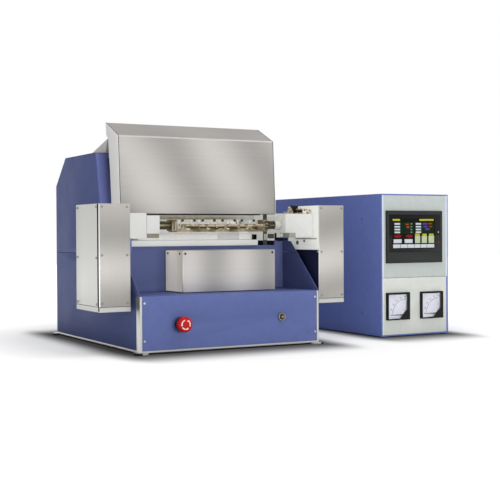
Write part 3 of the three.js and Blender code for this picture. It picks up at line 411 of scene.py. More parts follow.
def dress(node, body, material, width=0.4, segments=2, fold_at=None, fold_radius=2.5):
    """Replaces a node by its softened copy in a finished material, with wider folds where asked."""
    piece = merged(node)
    if fold_at:
        edit(piece, edges=fold_at)
        bpy.ops.mesh.bevel(offset=fold_radius * MM, segments=4, affect="EDGES")
        leave_edit()
    piece = finish(f"{node}_shaped", round_edges(piece, width, segments), body, material)
    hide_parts(node)
    return piece


def spot(face):
    """The middle of a face, in millimetres from the furnace's corner."""
    return (face.center - corner) / MM


def repaint(piece, material, wanted):
    """One more material, on the faces of a finished piece that pass a test."""
    piece.data.materials.append(material)
    index = len(piece.data.materials) - 1
    for face in piece.data.polygons:
        if wanted(face):
            face.material_index = index


print("weld distance in mm:", WELD / MM)

# %% [markdown]
# ## Effects that several finishes share
# Powder coat has a fine orange peel and a slow drift in tone. Brushed sheet has long thin streaks
# along its grain and, on wide covers, soft light and dark bands: a painted reflection of the studio.
# Paint and metal could each have their own noise nodes, but a node group is built once and placed in
# each material with its own values, so a change to it reaches every finish.

# %% Small helpers for effects
SOCKET_KINDS = {"Vector": "NodeSocketVector", "Wave": "NodeSocketVector", "Color": "NodeSocketColor"}
COAT_OUTPUTS = ("Color", "Roughness", "Height")


def new_group(name, outputs, **inputs):
    """An empty shader group, its input sockets with their values, and its output node."""
    group = bpy.data.node_groups.new(name, "ShaderNodeTree")
    for way, labels in (("INPUT", inputs), ("OUTPUT", outputs)):
        for label in labels:
            kind = SOCKET_KINDS.get(label, "NodeSocketFloat")
            socket = group.interface.new_socket(label, in_out=way, socket_type=kind)
            if way == "INPUT" and inputs[label] is not None:
                socket.default_value = inputs[label]
    return group, group.nodes.new("NodeGroupInput").outputs, group.nodes.new("NodeGroupOutput")


def scaled_vector(vector, scales):
    """The coordinates stretched by three factors."""
    return follow("ShaderNodeMapping", {"Vector": vector, "Scale": scales})["Vector"]


def noise(vector, scale, detail=2.0, roughness=0.5):
    """Noise over a vector, as a value from 0 to 1."""
    inputs = {"Vector": vector, "Scale": scale, "Detail": detail, "Roughness": roughness}
    return follow("ShaderNodeTexNoise", inputs)["Fac"]


def swing(value, reach):
    """Noise turned into a swing to both sides of nothing."""
    return mapped(value, 0.3, 0.7, -reach, reach)


def toned(tint, tone):
    """A colour made lighter or darker by a tone round 1."""
    grey = follow("ShaderNodeCombineColor", {"Red": tone, "Green": tone, "Blue": tone})["Color"]
    return blend(1.0, tint, grey, blend_type="MULTIPLY")


print("a coat puts out:", COAT_OUTPUTS)

# %% Powder coat
def powder_coat_group():
    """Fine orange peel, speckle and a slow drift in tone."""
    group, start, end = new_group("powder_coat", COAT_OUTPUTS, Vector=None, Color=None, Drift=0.06, Roughness=0.45)
    vector = start["Vector"]
    drift = calculate("MULTIPLY", swing(noise(vector, 3.0), 1.0), start["Drift"])
    speckle = swing(noise(vector, 2600.0, 1.0), 0.015)
    tone = calculate("ADD", calculate("ADD", drift, speckle), 1.0)
    smudge = swing(noise(vector, 14.0, 3.0, 0.6), 0.06)
    connect(end, {
        "Color": toned(start["Color"], tone),
        "Roughness": calculate("ADD", start["Roughness"], smudge),
        "Height": noise(vector, 900.0)})
    return group


POWDER = powder_coat_group()
print("powder coat nodes:", len(POWDER.nodes))

# %% Brushed sheet
def brushed_group(name, grain):
    """Streaks along the grain, and soft light and dark bands like a wave, a painted reflection of the studio."""
    group, start, end = new_group(name, COAT_OUTPUTS, Vector=None, Color=None, Streaks=0.04, Bands=0.03,
                                  Wave=None, Crest=0.0, Roughness=0.36)
    vector = start["Vector"]
    long_grain = scaled_vector(vector, grain)
    fine = noise(long_grain, 1500.0, 3.0, 0.7)
    coarse = noise(long_grain, 240.0)
    streak = mapped(calculate("ADD", fine, coarse), 0.7, 1.3, -1.0, 1.0)
    wander = swing(noise(vector, 4.0, 1.0), 0.25)
    turn = calculate_vector("DOT_PRODUCT", vector, start["Wave"])
    from_crest = calculate("SUBTRACT", turn, start["Crest"])
    band = calculate("COSINE", calculate("ADD", from_crest, wander))
    tone = calculate("ADD", calculate("MULTIPLY", streak, start["Streaks"]), 1.0)
    tone = calculate("ADD", tone, calculate("MULTIPLY", band, start["Bands"]))
    connect(end, {
        "Color": toned(start["Color"], tone),
        "Roughness": calculate("ADD", start["Roughness"], swing(coarse, 0.05)),
        "Height": fine})
    return group


BRUSHED_ACROSS = brushed_group("brushed_across", (0.012, 1.0, 1.0))
BRUSHED_UPRIGHT = brushed_group("brushed_upright", (1.0, 1.0, 0.012))
print("brushed sheet nodes:", len(BRUSHED_ACROSS.nodes))

# %% Edge wear
def edge_wear_group():
    """A mask of worn edges: pointed places, broken up by noise."""
    group, start, end = new_group("edge_wear", ("Mask",), Vector=None, Amount=0.5)
    pointed = add(group, "ShaderNodeNewGeometry").outputs["Pointiness"]
    patches = mapped(noise(start["Vector"], 60.0, 3.0), 0.35, 0.65, 0.0, 1.0)
    broken = calculate("MULTIPLY", mapped(pointed, 0.52, 0.62, 0.0, 1.0), patches)
    connect(end, {"Mask": calculate("MULTIPLY", broken, start["Amount"])})
    return group


WEAR = edge_wear_group()
print("groups:", [group.name for group in bpy.data.node_groups])

# %% [markdown]
# ## Finishes
# The real surfaces are blue and grey powder coat, brushed stainless sheet, machined steel and
# moulded plastic. Each finish is one Principled shader. Whatever is the same all over is set on the
# shader itself, and only what changes over the surface comes from a group or a texture, because that
# stays readable and carries over when the model leaves Blender.

# %% A finish from a group
def colour(red, green, blue):
    """A colour as it is seen on a screen, 0 to 255, in the renderer's own values."""
    def straight(value):
        share = value / 255
        return share / 12.92 if share <= 0.04045 else ((share + 0.055) / 1.055) ** 2.4
    return (straight(red), straight(green), straight(blue), 1.0)


def bump(material, height, strength, distance):
    """Relief from a height, through a Bump node, into the shader's normal."""
    inputs = {"Height": height, "Strength": strength, "Distance": distance}
    connect(shader_of(material), {"Normal": follow("ShaderNodeBump", inputs)["Normal"]})


def grouped_material(name, group, base, roughness, values, relief, wear=None, **constants):
    """A material whose colour, gloss and relief come from one group, with worn edges if asked."""
    material = blank_material(name, base, roughness, **constants)
    vector = on_object(material.node_tree)
    inputs = {"Vector": vector, "Color": base, "Roughness": roughness, **values}
    coat = follow("ShaderNodeGroup", inputs, node_tree=group)
    surface = coat["Color"]
    if wear:
        worn, amount = wear
        mask = follow("ShaderNodeGroup", {"Vector": vector, "Amount": amount}, node_tree=WEAR)["Mask"]
        surface = blend(mask, surface, worn)
    connect(shader_of(material), {"Base Color": surface, "Roughness": coat["Roughness"]})
    bump(material, coat["Height"], *relief)
    return material


PEEL_RELIEF = (0.12, 0.0004)
BRUSH_RELIEF = (0.03, 0.0002)


def painted(name, tint, roughness=0.5, drift=0.015, wear=0.2, glow=0.0):
    """Powder-coated sheet, a little lighter where its edges are rubbed; a glow, if given, is painted light."""
    base = colour(*tint)
    lighter = tuple(min(1.0, channel * 1.5 + 0.05) for channel in base[:3]) + (1.0,)
    return grouped_material(
        name, POWDER, base, roughness, {"Drift": drift}, PEEL_RELIEF, (lighter, wear),
        Specular_IOR_Level=0.05, Emission_Color=base, Emission_Strength=glow)


def brushed(name, tint, roughness=0.36, streaks=0.04, bands=0.03, wave=None, group=BRUSHED_ACROSS,
            metallic=1.0, **constants):
    """Brushed sheet metal with bands that are a painted reflection. A wave gives them a crest, a direction and a
    length in millimetres.
    """
    turns, crest = Vector((0.0, 0.0, 0.0)), 0.0
    if wave:
        place, direction, length = wave
        turns = Vector(direction).normalized() * (2 * math.pi / (length * MM))
        crest = turns.dot(at(*place))
    values = {"Streaks": streaks, "Bands": bands, "Wave": turns, "Crest": crest}
    return grouped_material(
        name, group, colour(*tint), roughness, values, BRUSH_RELIEF, Metallic=metallic, **constants)


def moulded(name, tint, roughness, grain=0.1, gloss=0.5):
    """Moulded plastic or fired board with a fine eroded texture."""
    return grouped_material(
        name, POWDER, colour(*tint), roughness, {"Drift": 0.03}, (grain, 0.0003), Specular_IOR_Level=gloss)


print("kinds of finish: painted, brushed, moulded")

# %% Paints
blue_paint = painted("blue_powder_coat", (94, 106, 157))
# Lighter blue for the tower's front: painted light where the hood shades it.
tower_painted_light = painted("tower_front_painted_light", (112, 121, 180))
cabinet_blue = painted("cabinet_powder_coat", (106, 122, 187))
# Darker, greyer blue for the recessed wall: painted shade of the recess.
recess_painted_shade = painted("recessed_wall_painted_shade", (90, 98, 139))
# Darker blue for the right side's inner faces: painted shade.
right_cheek_shade = painted("inner_cheek_painted_shade", (74, 83, 128))
shadow_blue = painted("shadow_blue_sheet", (32, 36, 66), 0.6, 0.02, wear=0.0)
upper_paint = painted("light_grey_powder_coat", (184, 191, 189), 0.5, 0.02)
lower_paint = painted("pale_grey_powder_coat", (209, 212, 206), 0.5, 0.02)
# Pale strips for the cabinet panels' edges: a painted highlight.
panel_edge_highlight = painted("painted_edge_highlight", (214, 222, 232), 0.45, 0.02)
# Pale sheet that glows a little: painted light on the hood's end plates.
end_plate_glow = painted("end_plate_painted_light", (224, 223, 222), 0.5, 0.02, wear=0.0, glow=0.27)
# Pale, glowing colour for the cradle's posts: painted light.
cradle_post_glow = painted("cradle_post_painted_light", (214, 208, 194), 0.6, 0.06, wear=0.0, glow=0.1)
sleeve_grey = painted("sleeve_grey", (190, 190, 184), 0.6, 0.02, wear=0.0)
# Pale sheet that glows: painted light for faces deep in the slots.
slot_sheet = painted("slot_sheet", (222, 224, 218), 0.5, 0.02, wear=0.0, glow=0.4)
seam_shadow = painted("seam_shadow", (58, 56, 54), 0.7, 0.02, wear=0.0)
soft_seal = painted("soft_grey_seal", (104, 102, 99), 0.7, 0.02, wear=0.0)
bolt_grey = painted("bolt_grey", (112, 112, 104), 0.5, 0.04, wear=0.1)
# Dark grey that glows a little: painted light for the post and terminal in the slot.
slot_post_glow = painted("slot_post_painted_light", (112, 117, 108), 0.6, 0.02, wear=0.0, glow=0.08)
seal_black = painted("rubber_seal", (40, 40, 41), 0.7, 0.02, wear=0.0)
# Green-grey that glows a little: painted light for the clamp bar.
clamp_bar_glow = painted("clamp_bar_painted_light", (136, 142, 128), 0.5, 0.04, wear=0.1, glow=0.12)
# White that glows a little: painted light for the right block's shaded faces, the clamp heads and the tag.
block_side_glow = painted("white_block_painted_light", (212, 212, 206), 0.6, 0.02, wear=0.0, glow=0.27)
# White fibre that glows a little: painted light inside the chamber.
chamber_fibre_painted_light = painted("chamber_fibre_painted_light", (240, 239, 235), 0.9, 0.04, wear=0.0, glow=0.22)

# %% Metals
# The bands of the brushed covers below are a painted reflection of the studio, one wave for each cover.
COVER_REFLECTION = 0.22
ARM_REFLECTION = 0.19
hood_wave = ((85, 190, 470), (1.0, 0.0, 0.6), 222)
drive_wave = ((172, 79, 200), (1.0, 0.0, 0.0), 153)
side_wave = ((153, 148, 200), (0.0, 1.0, 0.0), 150)
left_wave = ((-50, 21, 214), (0.0, 0.0, 1.0), 172)
right_wave = ((580, 21, 240), (-0.2, 0.0, 1.0), 164)
stainless = brushed("hood_stainless", (181, 178, 174), 0.42, 0.04, COVER_REFLECTION, hood_wave, metallic=0.3)
# Darker sheet for the hood's sloping top: painted shade.
hood_top_shade_sheet = brushed("hood_top_painted_shade", (167, 162, 158), 0.42, 0.04, 0.05, hood_wave, metallic=0.5)
drive_sheet = brushed("drive_cover_stainless", (183, 180, 176), 0.42, 0.04, COVER_REFLECTION, drive_wave, metallic=0.2)
left_sheet, right_sheet = (
    brushed(f"{side}_arm_stainless", (179, 176, 171), 0.4, 0.03, ARM_REFLECTION, wave, BRUSHED_UPRIGHT, 0.6)
    for side, wave in (("left", left_wave), ("right", right_wave)))
# The drive cover's sides: a glow and a strong light to dark sweep in the colour, painted light and shade.
drive_side_glow = brushed("drive_cover_side", (216, 208, 194), 0.5, 0.05, 0.5, side_wave, BRUSHED_UPRIGHT, 0.0,
                     Emission_Color=colour(196, 190, 176), Emission_Strength=0.5, Specular_IOR_Level=0.1)
pale_sheet = brushed("pale_brushed_sheet", (196, 196, 193), 0.42, 0.03, 0.0, group=BRUSHED_UPRIGHT)
silver_trim = brushed("satin_silver_trim", (214, 214, 212), 0.45)
# A bright sheet for rounded folds and edges: a painted highlight.
painted_fold_highlight = brushed("painted_fold_highlight", (240, 240, 238), 0.3, 0.02)
steel = brushed("machined_steel", (150, 151, 153), 0.35, 0.10)
dark_steel = brushed("dark_steel", (74, 74, 76), 0.4, 0.10)
brass = brushed("satin_brass", (176, 150, 98), 0.32, 0.08)
screw_grey = brushed("screw_grey", (152, 151, 148), 0.4, 0.05)
olive_clamp = brushed("olive_clamp_plate", (140, 138, 120), 0.5, 0.06)
chrome = brushed("dark_chrome", (128, 126, 120), 0.2, 0.02)
winding = brushed("varnished_winding", (150, 84, 44), 0.35, 0.15)

# %% Moulded plastics and boards
black_plastic = moulded("black_moulding", (22, 22, 24), 0.5, 0.1, 0.2)
grey_plastic = moulded("grey_moulding", (46, 48, 48), 0.55, 0.1, 0.15)
red_plastic = moulded("red_moulding", (184, 14, 16), 0.35, 0.03, 0.3)
white_print = moulded("pale_print", (238, 226, 220), 0.5)
white_board = moulded("white_board", (222, 223, 222), 0.75, 0.25)
grey_board = moulded("grey_repair_board", (196, 197, 196), 0.8, 0.3)
block_white = moulded("white_block", (208, 208, 205), 0.55, 0.12)
insulating = moulded("insulating_fibre", (222, 221, 218), 0.9, 0.5)
element_grey = moulded("element_grey", (72, 68, 66), 0.8, 0.6)
dark_alloy = moulded("dark_cradle_alloy", (50, 46, 34), 0.7, 0.3, 0.3)
dial_white = moulded("dial_card", (206, 208, 218), 0.6, 0.02, 0.2)
dial_print = moulded("dial_print", (46, 46, 58), 0.6, 0.02)

# %% [markdown]
# ## Stained metals and board, with a painted highlight and painted shade
# The cradle goes in and out of a furnace at over a thousand degrees, so its alloy is stained straw,
# brown and a little blue. The brass is mottled pale and dark in smaller patches, a strip along the
# rail's top is a painted highlight mottled the same way, and the door's white board is browned from
# below, partly a heat stain and partly painted shade under the hood's lip. Such marks could be
# painted on an unwrapped mesh. Here a noise picks them from a colour ramp, and on the door the height
# does, because that needs no unwrapping and stays sharp close up. A finer noise makes the scale rough
# and dull in places.

# %% Stained metals and the rail's painted highlight
def stained_metal(name, stops, patches, metallic=1.0):
    """Metal whose stains are colours at places on a noise, with duller patches of scale."""
    material = blank_material(name, colour(*stops[0][1]), 0.4, Metallic=metallic)
    vector = scaled_vector(on_object(material.node_tree), (1.0, 1.0, 1.6))
    ramp = add(material.node_tree, "ShaderNodeValToRGB", {"Fac": noise(vector, patches, 4.0, 0.6)})
    elements = ramp.color_ramp.elements
    while len(elements) < len(stops):
        elements.new(0.5)
    for element, (place, tint) in zip(elements, stops):
        element.position = place
        element.color = colour(*tint)
    scale_noise = noise(vector, 140.0, 4.0, 0.7)
    connect(shader_of(material), {
        "Base Color": ramp.outputs["Color"], "Roughness": mapped(scale_noise, 0.35, 0.65, 0.28, 0.6)})
    bump(material, scale_noise, 0.25, 0.0005)
    return material


heat_tint = stained_metal("heat_tinted_alloy", [
    (0.30, (74, 66, 50)), (0.44, (120, 108, 84)), (0.56, (160, 150, 128)),
    (0.68, (126, 110, 80)), (0.80, (80, 76, 80))], 26.0)
mottled_brass = stained_metal("mottled_brass", [
    (0.36, (70, 54, 38)), (0.43, (150, 132, 98)), (0.50, (216, 208, 190)),
    (0.58, (228, 224, 214)), (0.66, (172, 156, 122))], 60.0, 0.4)
# Pale mottled alloy for the strip along the rail's top: a painted highlight.
rail_highlight_alloy = stained_metal("alloy_painted_highlight", [
    (0.34, (96, 84, 62)), (0.42, (150, 138, 112)), (0.50, (196, 190, 174)),
    (0.58, (150, 140, 116)), (0.66, (112, 98, 72))], 70.0, 0.7)

# %% Door board with heat stain and painted shade
board_white = colour(226, 226, 222)
board_brown = colour(126, 115, 86)
door_board = blank_material("door_board_stain_and_shade", board_white, 0.8)
board_place = on_object(door_board.node_tree)
along = follow("ShaderNodeSeparateXYZ", {0: board_place})
uneven = noise(scaled_vector(board_place, (1.0, 1.0, 3.0)), 60.0, 3.0)
door_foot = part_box("furnace_door")[0].z
from_below = mapped(along["Z"], door_foot + 2 * MM, door_foot + 22 * MM, 1.0, 0.0)
to_the_right = mapped(along["X"], at(330, 0, 0).x, at(440, 0, 0).x, 1.0, 0.25)
# Brown towards the door's foot: partly a heat stain, partly painted shade under the hood's lip.
stain = calculate("MULTIPLY", from_below, to_the_right)
stain = calculate("MULTIPLY", stain, mapped(uneven, 0.3, 0.7, 0.75, 1.1))
connect(shader_of(door_board), {"Base Color": blend(stain, board_white, board_brown)})
bump(door_board, uneven, 0.2, 0.0004)

# %% Glass and the lit screen
screen_glass = blank_material("screen_glass", colour(8, 7, 6), 0.1, Specular_IOR_Level=0.2)
window_glass = blank_material("meter_window", colour(250, 250, 250), 0.05,
                              Transmission_Weight=1.0, IOR=1.1, Alpha=0.35)


def lit(name, tint, glow=0.06):
    """A printed or lit colour that glows a little, as on a screen."""
    base = colour(*tint)
    return blank_material(name, base, 0.4, Emission_Color=base, Emission_Strength=glow, Specular_IOR_Level=0.05)


# %% [markdown]
# ## Screws
# Pan-head screws hold every cover. One is modelled: a disc whose front rim is rounded, with a recess
# pushed into its face by two insets. Each panel's screws are copies of it, joined into one piece for
# that panel, because single screws would fill the list of objects with things that never move apart.

# %% One screw and its copies
SCREW_RADIUS = 3.0
SCREW_HEIGHT = 1.6
FACING = {
    "front": Matrix.Rotation(math.pi / 2, 4, "X"),
    "left": Matrix.Rotation(-math.pi / 2, 4, "Y"),
    "right": Matrix.Rotation(math.pi / 2, 4, "Y"),
}


def screw_head(facing):
    """A pan head at the origin that stands out along a facing."""
    radius, height = SCREW_RADIUS * MM, SCREW_HEIGHT * MM
    head = rod(Vector((0.0, 0.0, height / 2)), SCREW_RADIUS, SCREW_HEIGHT, "Z", sides=20)
    edit(head, faces=lambda face: face.normal.z > 0.9)
    bpy.ops.mesh.bevel(offset=height * 0.4, segments=2, affect="EDGES")
    leave_edit()
    edit(head, faces=lambda face: face.normal.z > 0.9 and face.area > radius ** 2)
    bpy.ops.mesh.inset(thickness=radius * 0.3, depth=0.0)
    bpy.ops.mesh.inset(thickness=radius * 0.08, depth=-height * 0.45)
    leave_edit()
    head.data.transform(FACING[facing])
    return head


def screws(name, facing, places, body, material=steel):
    """Screws at several places on one face, joined into one piece."""
    template = screw_head(facing)
    copies = [linked(template.data.copy()) for _ in places]
    for copy, place in zip(copies, places):
        copy.data.transform(Matrix.Translation(point(place)))
    bpy.data.objects.remove(template)
    finish(name, copies, body, material)


print("screw head in mm:", 2 * SCREW_RADIUS, "by", SCREW_HEIGHT)

# %% [markdown]
# ## The casing
# The furnace body is folded sheet: a silver frame round the base and the front corners, a blue front
# that bends back into a shelf, and blue sides with a seam. They could be modelled again as thin
# plates, but their shapes are right in the frame, so they are copied with rounded folds, and what is
# added is paint, screws, and the filter and seals behind the vents.

# %% Casing panels
FOLD = 0.6


def upright_at(x, y):
    """A test for edges that stand upright at a place."""
    post = at(x, y, 0)
    return lambda *ends: all((end - post).xy.length < 0.1 * MM for end in ends)


base = dress("base_frame", "root", silver_trim, 0.5)
foot_top, body_width, body_back = 5.8, 520, 600
repaint(base, seal_black, lambda face: spot(face).z < foot_top and not (
    0 < spot(face).x < body_width and spot(face).y < body_back))
# The recessed wall gets the darker blue: painted shade.
for panel, paint in (("lower_front_panel", blue_paint), ("tower_top", blue_paint), ("recessed_wall", recess_painted_shade)):
    dress(panel, "root", paint, FOLD)
rear_cover = dress("rear_cover", "root", blue_paint, FOLD)
# The tower's front is painted lighter: painted light.
dress("tower_front_panel", "root", tower_painted_light, FOLD)
for side in ("left", "right"):
    for row in ("lower", "upper"):
        panel = dress(f"{side}_{row}_side_panel", "root", blue_paint, FOLD)
        if side == "right":
            # Inner faces of the right side panels: painted shade.
            repaint(panel, right_cheek_shade, lambda face: face.normal.x < -0.9)
cover = dress("drive_cover", "root", drive_sheet, FOLD, fold_at=upright_at(153.5, 79))
# Both side faces of the drive cover get the glowing sheet with its sweep: painted light and shade.
repaint(cover, drive_side_glow, lambda face: abs(face.normal.x) > 0.98)
# The drive cover's rounded front fold: a painted highlight.
repaint(cover, painted_fold_highlight, lambda face: -0.98 < face.normal.x < -0.2 and face.normal.y < -0.2)
dress("deck_board", "root", white_board, 1.0)
dress("roof_wedge", "root", stainless, FOLD)

# %% Rear cover
# The glands are black nuts and necks on the blue sheet, and a dark filter closes the slots from inside.
gland_y = 631
repaint(rear_cover, black_plastic, lambda face: spot(face).y > gland_y)
finish("rear_filter", [
    block((170, 624.4, 290), (350, 626.4, 408), 0.6),
    block((6, 624.4, 434), (514, 628.2, 438.6), 0.6),
    block((6, 624.4, 438), (514, 627, 446), 0.6),
], "root", seal_black)

# %% Screws of the casing
INSET = 8 * MM
low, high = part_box("lower_front_panel")
screws("front_panel_screws", "front", [
    Vector((x, low.y, low.z + row * MM)) for x in (low.x + 10 * MM, high.x - 10 * MM) for row in (24, 118)
], "root", silver_trim)
low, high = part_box("drive_cover")
screws("drive_cover_screws", "front", [
    Vector((x, low.y, high.z - INSET)) for x in (low.x + INSET, high.x - INSET)
], "root", dark_steel)
screws("drive_cover_side_screws", "left", [
    Vector((low.x, y, high.z - INSET)) for y in (low.y + 2 * INSET, high.y - 2 * INSET)
], "root", dark_steel)

# %% [markdown]
# ## Hood
# The hood is one folded stainless sheet between two end plates, which glow a little: painted light.
# Its sloping top mirrors less light than its front, so the faces above the fold get a darker sheet,
# which is painted shade, and the fold itself a painted highlight. A dark seal fills the corner at each
# end. It could be a bent strip of its own, but a slice cut from the hood by two planes, made a little
# fuller, follows every fold by itself. A black strip under the lip is a painted shadow line, and it
# closes the gap.

# %% Hood and its seals
SHOULDER = 559
SEAL_WIDTH = 1.6 * MM


def along_shoulder(one, other):
    """An edge along the fold between the hood's front and its sloping top."""
    shoulder_z = at(0, 0, SHOULDER).z
    return all(abs(end.z - shoulder_z) < 1.5 * MM for end in (one, other)) and abs(one.x - other.x) > 0.3


def slice_of(node, low, high, proud):
    """The part of a node between two planes across the x axis, closed again and a little fuller."""
    piece = merged(node)
    across = Vector((1.0, 0.0, 0.0))
    for place, outward in ((low, -across), (high, across)):
        edit(piece)
        bpy.ops.mesh.bisect(plane_co=across * place, plane_no=outward, use_fill=True, clear_outer=True)
        leave_edit()
    edit(piece)
    bpy.ops.transform.shrink_fatten(value=proud * MM)
    leave_edit()
    return piece


hood = dress("hood_front", "root", stainless, FOLD, fold_at=along_shoulder)
# The hood's sloping top gets the darker sheet: painted shade.
repaint(hood, hood_top_shade_sheet, lambda face: spot(face).z > SHOULDER + 3)
# A thin band along the hood's shoulder fold: a painted highlight.
repaint(hood, painted_fold_highlight, lambda face: (
    abs(spot(face).z - SHOULDER) < 2.6 and face.normal.y < -0.1 and face.area < 0.002))
# The end plates glow a little: painted light.
for node in ("hood_left_end", "hood_right_end"):
    dress(node, "root", end_plate_glow, FOLD)
low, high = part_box("hood_front")
for side, start, stop in (("left", low.x - 0.1 * MM, low.x + SEAL_WIDTH),
                          ("right", high.x - SEAL_WIDTH, high.x + 0.1 * MM)):
    finish(f"hood_{side}_seal", slice_of("hood_front", start, stop, 0.25), "root", soft_seal)
# A black strip under the hood's lip: a painted shadow line, which also closes the gap.
finish("hood_lip_shadow_strip", [
    block((79, 186, 349.6), (446, 197, 353.2), 0.5), block((440, 186, 351.8), (494, 197, 353.2), 0.3),
], "root", seal_black)
screws("hood_screws", "front", [(x, 188.1, 402.8) for x in (30.5, 489.5)], "root", pale_sheet)

# %% [markdown]
# ## Arms
# Each arm is a folded box on the carriage with a brushed cover in front and a plain one at its side.
# Between the two covers runs a black edge trim, and a thin dark seam runs under them, above the box's
# pale lip. The covers' rounded folds are a painted highlight, the left cover's side face is painted
# shade for its gap, the right one's is a painted highlight, and the boxes' left faces glow a little,
# which is painted light. A dark blue sheet with one bolt is painted shade that closes the view into
# the right arm. Left and right differ only in side and sheet, so one loop makes both. A mirror
# modifier would also mirror the screws and folds that only one side shows.

# %% Arms and their covers
for side, sheet, outer_x, inward in (("left", left_sheet, -98, 1), ("right", right_sheet, 618, -1)):
    housing = dress(f"{side}_arm_housing", "carriage", pale_sheet, FOLD)
    # The boxes' left faces get the glowing sheet: painted light.
    repaint(housing, slot_sheet, lambda face: face.normal.x < -0.98)
    cover = dress(f"{side}_arm_front_cover", "carriage", sheet, FOLD,
                  fold_at=upright_at(outer_x, 21), fold_radius=4.0)
    # Rounded folds of the covers: a painted highlight. The left cover's side face is painted shade for its gap, the
    # right cover's a painted highlight.
    repaint(cover, painted_fold_highlight, lambda face: face.normal.x < -0.2 and face.normal.y < -0.2)
    repaint(cover, seam_shadow if side == "left" else painted_fold_highlight, lambda face: face.normal.x < -0.98)
    dress(f"{side}_arm_side_cover", "carriage", pale_sheet, FOLD)
    low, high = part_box(f"{side}_arm_front_cover")
    screws(f"{side}_arm_front_screws", "front", [
        Vector((x, low.y, z)) for x in (low.x + INSET, high.x - INSET)
        for z in (low.z + INSET, (low.z + high.z) / 2, high.z - INSET)
    ], "carriage", screw_grey)
    low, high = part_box(f"{side}_arm_side_cover")
    screws(f"{side}_arm_side_screws", side, [
        Vector((low.x if side == "left" else high.x, y, z)) for y in (low.y + INSET, high.y - INSET)
        for z in (low.z + 2.4 * INSET, (low.z + high.z) / 2, high.z - INSET)
    ], "carriage")
    trim = block((outer_x - inward * 0.5, 27.6, 121.2), (outer_x + inward * 2.5, 32.2, 373.6), 0.6)
    finish(f"{side}_arm_edge_trim", trim, "carriage", seal_black)
    finish(f"{side}_arm_seam", [
        block((outer_x - inward * 0.15, 32.4, 120.2), (outer_x + inward, 182.6, 121.4), 0.1),
        block((outer_x + inward * 0.5, 20.85, 120.1), (outer_x + inward * 81.6, 21.8, 121.1), 0.1),
    ], "carriage", seal_black)
# A dark blue sheet inside the right arm: painted shade.
inner_shadow_plate = block((535.3, 24, 110), (536.1, 181, 252.6), 0.2)
finish("right_arm_shadow_sheet", inner_shadow_plate, "carriage", shadow_blue)
finish("liner_bolt", rod((535.2, 27, 248), 3.0, 1.6, "X", 0.5, 20), "carriage", silver_trim)

# %% [markdown]
# ## Bearing blocks
# Two white blocks carry the cradle's shaft. The left one has a nose with a small clamp plate under
# it. The right one has a clamp bar at its foot, two flange bolts and the brass position sensor on
# top. Its left faces, its flange, the clamp bar and the clamp heads glow a little, which is painted
# light, and a dark strip under it is a painted shadow. Behind each block a thin pale sheet that glows
# a little, painted light, travels along with a dark blue skirt, painted shade, and covers the slot in
# the casing's side, and the right one carries a post, a terminal and a tag, which glow a little too.
# All of this is flat stock with rounded edges, so blocks between two corners are closer to it than
# any sculpted form.

# %% Bearing blocks
clamp_top, clamp_left, blue_top, flange_top = 299.5, 41, 286, 285
left_block = dress("left_bearing_block", "carriage", block_white, 0.8)
repaint(left_block, olive_clamp, lambda face: spot(face).z < clamp_top and spot(face).x > clamp_left)
repaint(left_block, blue_paint, lambda face: spot(face).z < blue_top)
right_block = dress("right_bearing_block", "carriage", block_white, 0.8)
# The right block's left faces glow: painted light.
repaint(right_block, block_side_glow, lambda face: face.normal.x < -0.9)
# The right block's flange gets the glowing sheet: painted light.
repaint(right_block, slot_sheet, lambda face: face.normal.x < -0.9 and spot(face).z < flange_top)
finish("flange_bolts", [
    rod((529.4, 122, 272), 6.0, 3, "X", 0.6, 20), rod((529.4, 86, 277), 3.6, 3, "X", 0.6, 20),
], "carriage", bolt_grey)
# A dark strip under the right block: a painted shadow.
flange_shadow_strip = block((529.3, 24, 281.8), (530.0, 134, 284.4), 0.2)
finish("flange_shadow_strip", flange_shadow_strip, "carriage", bolt_grey)

# %% Slot sheets
# The slot sheets glow a little: painted light.
for side, x, front_y, foot in (("left", 17, 141.2, (3, 18.5)), ("right", 500, 152.2, (500, 515.5))):
    finish(f"{side}_slot_sheet", [
        block((x, front_y, 300), (x + 1.5, 400, 354), 0.5),
        block((x, 200, 278), (x + 1.5, 400, 300.2), 0.5),
        block((foot[0], front_y, 300), (foot[1], front_y + 1.5, 344), 0.4),
    ], "carriage", slot_sheet)
    # Dark blue skirt under each slot sheet: painted shade.
    finish(f"{side}_slot_shadow_skirt", [
        block((x, 190, 256), (x + 1.5, 400, 277.9), 0.5),
        block((x, front_y, 277), (x + 1.5, 199.9, 299.9), 0.5),
        block((foot[0], front_y, 277), (foot[1], front_y + 1.5, 299.9), 0.4),
    ], "carriage", shadow_blue)
# The post and terminal glow a little: painted light.
finish("slot_post", [
    block((498.6, 242, 258), (500.1, 264, 353), 0.5), block((497.6, 201, 284), (500.1, 234, 297), 0.6),
], "carriage", slot_post_glow)
# The tag glows a little: painted light.
finish("slot_tag", block((498.2, 235.5, 279), (500.1, 258, 297), 0.6), "carriage", block_side_glow)

# %% Clamp bar and position sensor
def plate(outline, depth, edge=0.0):
    """A plate that faces the front: a filled ring of points, extruded back by a depth in millimetres."""
    deselect()
    bpy.ops.mesh.primitive_circle_add(vertices=len(outline), fill_type="NGON")
    piece = bpy.context.object
    for vertex, place in zip(piece.data.vertices, outline):
        vertex.co = point(place)
    edit(piece)
    bpy.ops.mesh.extrude_region_move(TRANSFORM_OT_translate={"value": (0.0, depth * MM, 0.0)})
    bpy.ops.mesh.select_all(action="SELECT")
    bpy.ops.mesh.normals_make_consistent(inside=False)
    leave_edit()
    return round_edges(piece, edge) if edge else piece


def sunk(piece, wanted, rim, depth):
    """Faces that pass a test, inset by a rim and pushed in by a depth in millimetres."""
    edit(piece, faces=wanted)
    bpy.ops.mesh.inset(thickness=rim * MM, depth=-depth * MM)
    leave_edit()
    return piece


